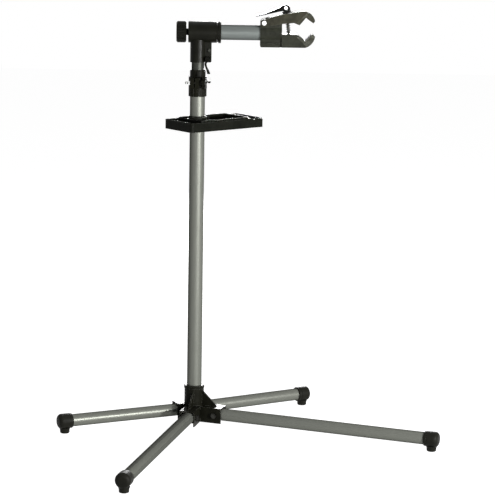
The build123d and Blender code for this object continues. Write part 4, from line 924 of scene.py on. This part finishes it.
# %% Knurl the nut
nut_low, nut_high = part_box("release_nut")
nut_middle = (Vector(nut_low) + Vector(nut_high)) / 2
knurl_inset = 0.0004
nut_foot = Vector((nut_middle.x, nut_low[1] + knurl_inset, nut_middle.z))
grow(
    "release_nut_knurl", knurl_tree, "head", "steel", Foot=nut_foot, Axis=Vector((0.0, 1.0, 0.0)),
    Count=26, Radius=0.0069, Height=0.0042, Ridge=0.0006, Finish=zinc_steel,
)

# %% [markdown]
# ### Grip of the jaw tips
# The jaw castings carry a grid of small pyramids on the sides of their tips. They
# could be set one by one inside a drawn outline. Here a flat grid of points
# stands beside the jaw, turned by an eighth so that its rows run slantwise, and
# the jaw itself decides which points count.

# %% Lay a grid beside the jaw
hatch_tree, hatch_in, hatch_out = new_group(
    "jaw_hatch", "GeometryNodeTree",
    placing + [
        ("Jaw", "object", None), ("Side", "value", 1.0), ("Middle", "vector", (0, 0, 0)),
        ("Span", "value", 0.04), ("Count", "count", 20), ("Margin", "value", 0.0012),
        ("Stud", "value", 0.0006), ("Rise", "value", 0.0006),
    ],
    [("Geometry", "geometry")],
)
hatch_grid = new_node(hatch_tree, "GeometryNodeMeshGrid")
hatch_stand = new_node(hatch_tree, "GeometryNodeTransform", Rotation=(pi / 2, pi / 4, 0.0))
hatch_points = new_node(hatch_tree, "GeometryNodeMeshToPoints")
join(
    hatch_tree,
    (hatch_in.outputs["Span"], hatch_grid.inputs["Size X"]),
    (hatch_in.outputs["Span"], hatch_grid.inputs["Size Y"]),
    (hatch_in.outputs["Count"], hatch_grid.inputs["Vertices X"]),
    (hatch_in.outputs["Count"], hatch_grid.inputs["Vertices Y"]),
    (hatch_grid.outputs["Mesh"], hatch_stand.inputs["Geometry"]),
    (hatch_in.outputs["Middle"], hatch_stand.inputs["Translation"]),
    (hatch_stand.outputs[0], hatch_points.inputs["Mesh"]),
)
print("tree begun:", hatch_tree.name)

# %% [markdown]
# ### Rays that feel for the jaw
# Each point looks at the jaw along a ray, and so do four spots close around it. A
# point counts only where all five rays meet the jaw's flat side, so no pyramid
# hangs over an edge. Finding the side with rays keeps the grid free of any
# outline of its own.

# %% Feel for the jaw
grid_stand_off = 0.004
jaw_shape = new_node(hatch_tree, "GeometryNodeObjectInfo", transform_space="RELATIVE")
hatch_look = new_node(hatch_tree, "ShaderNodeCombineXYZ")
hatch_turned = new_node(hatch_tree, "ShaderNodeMath", operation="MULTIPLY")
hatch_turned.inputs[1].default_value = -1.0
hatch_place = new_node(hatch_tree, "GeometryNodeInputPosition")
join(
    hatch_tree,
    (hatch_in.outputs["Jaw"], jaw_shape.inputs["Object"]),
    (hatch_in.outputs["Side"], hatch_turned.inputs[0]),
    (hatch_turned.outputs[0], hatch_look.inputs["Y"]),
)


def ray_to_jaw(aside, above):
    """Ray from a point beside the grid point towards the jaw."""
    step = new_node(hatch_tree, "ShaderNodeCombineXYZ", X=aside, Z=above)
    sized = new_node(hatch_tree, "ShaderNodeVectorMath", operation="SCALE")
    start = new_node(hatch_tree, "ShaderNodeVectorMath", operation="ADD")
    ray = new_node(hatch_tree, "GeometryNodeRaycast", Ray_Length=2 * grid_stand_off)
    join(
        hatch_tree,
        (step.outputs[0], sized.inputs[0]),
        (hatch_in.outputs["Margin"], sized.inputs["Scale"]),
        (hatch_place.outputs[0], start.inputs[0]),
        (sized.outputs[0], start.inputs[1]),
        (jaw_shape.outputs["Geometry"], ray.inputs["Target Geometry"]),
        (start.outputs[0], ray.inputs["Source Position"]),
        (hatch_look.outputs[0], ray.inputs["Ray Direction"]),
    )
    return ray


middle_ray = ray_to_jaw(0.0, 0.0)
all_hit = middle_ray.outputs["Is Hit"]
for aside, above in ((1, 0), (-1, 0), (0, 1), (0, -1)):
    both = new_node(hatch_tree, "FunctionNodeBooleanMath", operation="AND")
    join(hatch_tree, (all_hit, both.inputs[0]), (ray_to_jaw(aside, above).outputs["Is Hit"], both.inputs[1]))
    all_hit = both.outputs[0]
print("the grid stands", grid_stand_off, "m off the jaw")

# %% [markdown]
# ### Pyramids on the flat side
# Points that missed are deleted, and the others move to where their ray met the
# jaw. A cone with four sides is a pyramid: one stands on each point and turns its
# axis away from the side. Instances keep the tree light until they are realized.

# %% Grow the pyramids
hatch_land = new_node(hatch_tree, "GeometryNodeSetPosition")
hatch_normal = new_node(hatch_tree, "FunctionNodeAlignRotationToVector", axis="Z")
hatch_stud = new_node(hatch_tree, "GeometryNodeMeshCone", Vertices=4)
hatch_set = new_node(hatch_tree, "GeometryNodeInstanceOnPoints")
hatch_keep = new_node(hatch_tree, "GeometryNodeDeleteGeometry", domain="POINT")
hatch_miss = new_node(hatch_tree, "FunctionNodeBooleanMath", operation="NOT")
hatch_away = new_node(hatch_tree, "ShaderNodeCombineXYZ")
join(
    hatch_tree,
    (all_hit, hatch_miss.inputs[0]),
    (hatch_points.outputs[0], hatch_keep.inputs["Geometry"]),
    (hatch_miss.outputs[0], hatch_keep.inputs["Selection"]),
    (hatch_keep.outputs[0], hatch_land.inputs["Geometry"]),
    (middle_ray.outputs["Hit Position"], hatch_land.inputs["Position"]),
    (hatch_in.outputs["Side"], hatch_away.inputs["Y"]),
    (hatch_away.outputs[0], hatch_normal.inputs["Vector"]),
    (hatch_in.outputs["Stud"], hatch_stud.inputs["Radius Bottom"]),
    (hatch_in.outputs["Rise"], hatch_stud.inputs["Depth"]),
    (hatch_land.outputs[0], hatch_set.inputs["Points"]),
    (hatch_stud.outputs[0], hatch_set.inputs["Instance"]),
    (hatch_normal.outputs[0], hatch_set.inputs["Rotation"]),
)
finish_tree(hatch_tree, hatch_set.outputs[0], hatch_in, hatch_out)
print("tree:", hatch_tree.name)

# %% [markdown]
# ### Four hatched sides
# Each jaw has a left and a right side, and each side its own piece, because the
# upper jaw moves and the lower one doesn't. The middle of a grid is found from
# the box of the jaw: just inside its front end, and at the height of its tip.

# %% Hatch the four sides
front_inset, tip_below_top, tip_above_bottom = 0.004, 0.028, 0.026
for jaw, body in (("upper_jaw", "upper_jaw"), ("clamp_body", "arm")):
    jaw_low, jaw_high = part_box(jaw)
    tip_height = jaw_high[2] - tip_below_top if jaw == "upper_jaw" else jaw_low[2] + tip_above_bottom
    for side, hand in ((-1.0, "right"), (1.0, "left")):
        face = jaw_low[1] if side < 0 else jaw_high[1]
        grid_middle = Vector((jaw_high[0] - front_inset, face + side * grid_stand_off, tip_height))
        grow(
            f"{jaw}_hatch_{hand}", hatch_tree, body, "jaw", Jaw=nodes[jaw], Side=side, Middle=grid_middle,
            Span=0.056, Count=19, Margin=0.0016, Stud=0.0015, Rise=0.0009, Finish=hatch_paint,
        )

# %% [markdown]
# ## Pieces turned and wound in code
# Two kinds of piece are made from lists of points and faces: the rubber caps on
# the legs and the spring in the clamp. One helper makes the closed mesh, with
# its faces outwards, smooth sides and sharp corners, and puts it in the place of
# the model's plainer piece.

# %% Put a made piece in place of a plain one
def replace_node(name, points, faces, finish, sharp, body, node):
    """Closed piece from points and faces that takes the place of a node of the model."""
    mesh = bpy.data.meshes.new(name)
    mesh.from_pydata(points, [], faces)
    shell = bmesh.new()
    shell.from_mesh(mesh)
    bmesh.ops.recalc_face_normals(shell, faces=shell.faces)
    shell.to_mesh(mesh)
    shell.free()
    mesh.shade_smooth()
    mesh.set_sharp_from_angle(angle=radians(sharp))
    mesh.materials.append(finish)
    piece = bpy.data.objects.new(name, mesh)
    scene.collection.objects.link(piece)
    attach(piece, body)
    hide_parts(node)
    print(name, len(mesh.polygons), "faces")
    return piece


print("helper: replace_node")

# %% [markdown]
# ### Foot caps
# The rubber caps end in a drum that is fatter than the tube, with a short wide
# foot that flares into it. Booleans of cylinders could make one, but the cap is
# round about its leg and the foot is round about the vertical, so both are
# turned from a half outline, as on a lathe. An outline that starts and ends on
# the axis gives a closed body.

# %% Turn an outline on an axis
def lathe(outline, origin, axis, steps=40):
    """Vertices and faces of an outline of (distance, radius) pairs turned about an axis."""
    side = axis.orthogonal().normalized()
    other = axis.cross(side)
    rings = []
    vertices = []
    for distance, radius in outline:
        count = steps if radius > 0 else 1
        rings.append(range(len(vertices), len(vertices) + count))
        for step in range(count):
            angle = 2 * pi * step / steps
            vertices.append(origin + axis * distance + (side * cos(angle) + other * sin(angle)) * radius)
    faces = []
    for near, far in zip(rings, rings[1:]):
        for step in range(steps):
            corners = [near[step % len(near)], near[(step + 1) % len(near)]]
            corners += [far[(step + 1) % len(far)], far[step % len(far)]]
            faces.append(list(dict.fromkeys(corners)))
    return vertices, faces


print("helper: lathe")

# %% [markdown]
# ### Outlines of cap and foot
# An outline is a row of pairs: how far along the axis, and how far from it. The
# round end of the drum and the rounded sole are arcs worked out by a formula, a
# shallow groove parts the drum from the sleeve, and the bore that takes the tube
# closes the row.

# %% Draw the outlines
arc = [radians(angle) for angle in range(0, 91, 9)]
dome_length, drum_radius, flat_radius = 0.0105, 0.0198, 0.0095
groove_near, groove_far, groove_slope, groove_floor = 0.0275, 0.0295, 0.0005, 0.0190
drum_end_radius, sleeve_start_radius, sleeve_radius = 0.0197, 0.0195, 0.0191
cap_length, lip_length, lip_drop, tube_room, bore_end = 0.0375, 0.0014, 0.0012, 0.0162, 0.006
cap_outline = [(0.0, 0.0)]
for turn in arc:
    cap_outline.append((dome_length * (1 - cos(turn)), flat_radius + (drum_radius - flat_radius) * sin(turn)))
cap_outline += [
    (groove_near, drum_end_radius), (groove_near + groove_slope, groove_floor),
    (groove_far - groove_slope, groove_floor), (groove_far, sleeve_start_radius),
    (cap_length - lip_length, sleeve_radius), (cap_length, sleeve_radius - lip_drop),
    (cap_length, tube_room), (bore_end, tube_room), (bore_end, 0.0),
]
foot_radius, foot_round, waist_height, foot_height = 0.0122, 0.0030, 0.009, 0.014
waist_flare, top_flare = 0.0004, 0.0024
foot_outline = [(0.0, 0.0)]
for turn in arc:
    foot_outline.append((foot_round * (1 - cos(turn)), foot_radius - foot_round * (1 - sin(turn))))
foot_outline += [
    (waist_height, foot_radius + waist_flare), (foot_height, foot_radius + top_flare), (foot_height, 0.0),
]
print("outlines:", len(cap_outline), "points for the cap and", len(foot_outline), "for the foot")

# %% [markdown]
# ### Four caps on four legs
# A leg's foot is a named point of the model, and the direction of the leg comes
# from its fold joint. So the same two outlines serve all four legs: the cap is
# turned about the leg and the foot about the vertical, and the two make one
# piece that folds with its leg.

# %% Turn four caps
mounts = {mount["name"]: mount for mount in frame["record"]["mounts"]}
foot_from_end, drum_ahead, leg_height = 0.018, 0.0008, 0.031
for leg in leg_satin:
    outwards = leg_heading(leg)
    foot = Vector(mounts[leg + "_foot"]["pos_m"])
    end = Vector((foot.x, foot.y, leg_height)) + outwards * (foot_from_end + drum_ahead)
    cap_points, cap_faces = lathe(cap_outline, end, -outwards)
    foot_points, foot_faces = lathe(foot_outline, Vector((foot.x, foot.y, 0.0)), lift)
    cap_faces += [[corner + len(cap_points) for corner in face] for face in foot_faces]
    replace_node(
        leg + "_drum_cap", cap_points + foot_points, cap_faces, foot_rubber, 34,
        leg + "_leg", leg + "_leg_cap",
    )

# %% [markdown]
# ### Jaw spring
# A wire spring round the clamp rod pushes the upper jaw open when the rod is
# slackened. A Screw modifier or a curve with a round bevel could wind it, but
# both leave the ends open and evenly spaced. Here the path of the wire is worked
# out in code, so each end gets the closed coil that a cut spring has.

# %% Trace the wire
wire, coil_radius, spring_length, washer_half = 0.0011, 0.0047, 0.04665, 0.0006
open_coils, per_coil = 7, 28
open_rise = (spring_length - 6 * wire) / open_coils
washer_low, washer_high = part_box("spring_washer")
spring_seat = (Vector(washer_low) + Vector(washer_high)) / 2 + rod_axis * washer_half
across = Vector((0, 1, 0))
square_to_rod = across.cross(rod_axis)
coil_steps = (open_coils + 2) * per_coil
wire_path = []
for step in range(coil_steps + 1):
    coil = step / per_coil
    closed_part = min(coil, 1) + max(coil - 1 - open_coils, 0)
    open_part = min(max(coil - 1, 0), open_coils)
    spoke = square_to_rod * cos(2 * pi * coil) + across * sin(2 * pi * coil)
    rise = wire + 2 * wire * closed_part + open_rise * open_part
    wire_path.append((spring_seat + rod_axis * rise + spoke * coil_radius, spoke))
print("wire path:", len(wire_path), "points")

# %% [markdown]
# ### Skin of the spring
# A ring of points round each step of the path, joined to the next ring, gives
# the wire its skin, and a cap on each end shuts it. When the jaw is drawn down
# the real spring shortens; this one keeps its length and rides on the arm.

# %% Wind the spring
round_steps = 10
wire_points, wire_faces = [], []
for place, spoke in wire_path:
    for step in range(round_steps):
        angle = 2 * pi * step / round_steps
        wire_points.append(place + (spoke * cos(angle) + rod_axis * sin(angle)) * wire)
for near in range(0, coil_steps * round_steps, round_steps):
    for step in range(round_steps):
        following = (step + 1) % round_steps
        far = near + round_steps
        wire_faces.append([near + step, near + following, far + following, far + step])
wire_faces += [list(range(round_steps)), list(range(len(wire_points) - round_steps, len(wire_points)))]
spring = replace_node(
    "jaw_spring_coil", wire_points, wire_faces, spring_steel, 40, "arm", "jaw_spring",
)
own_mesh(spring)
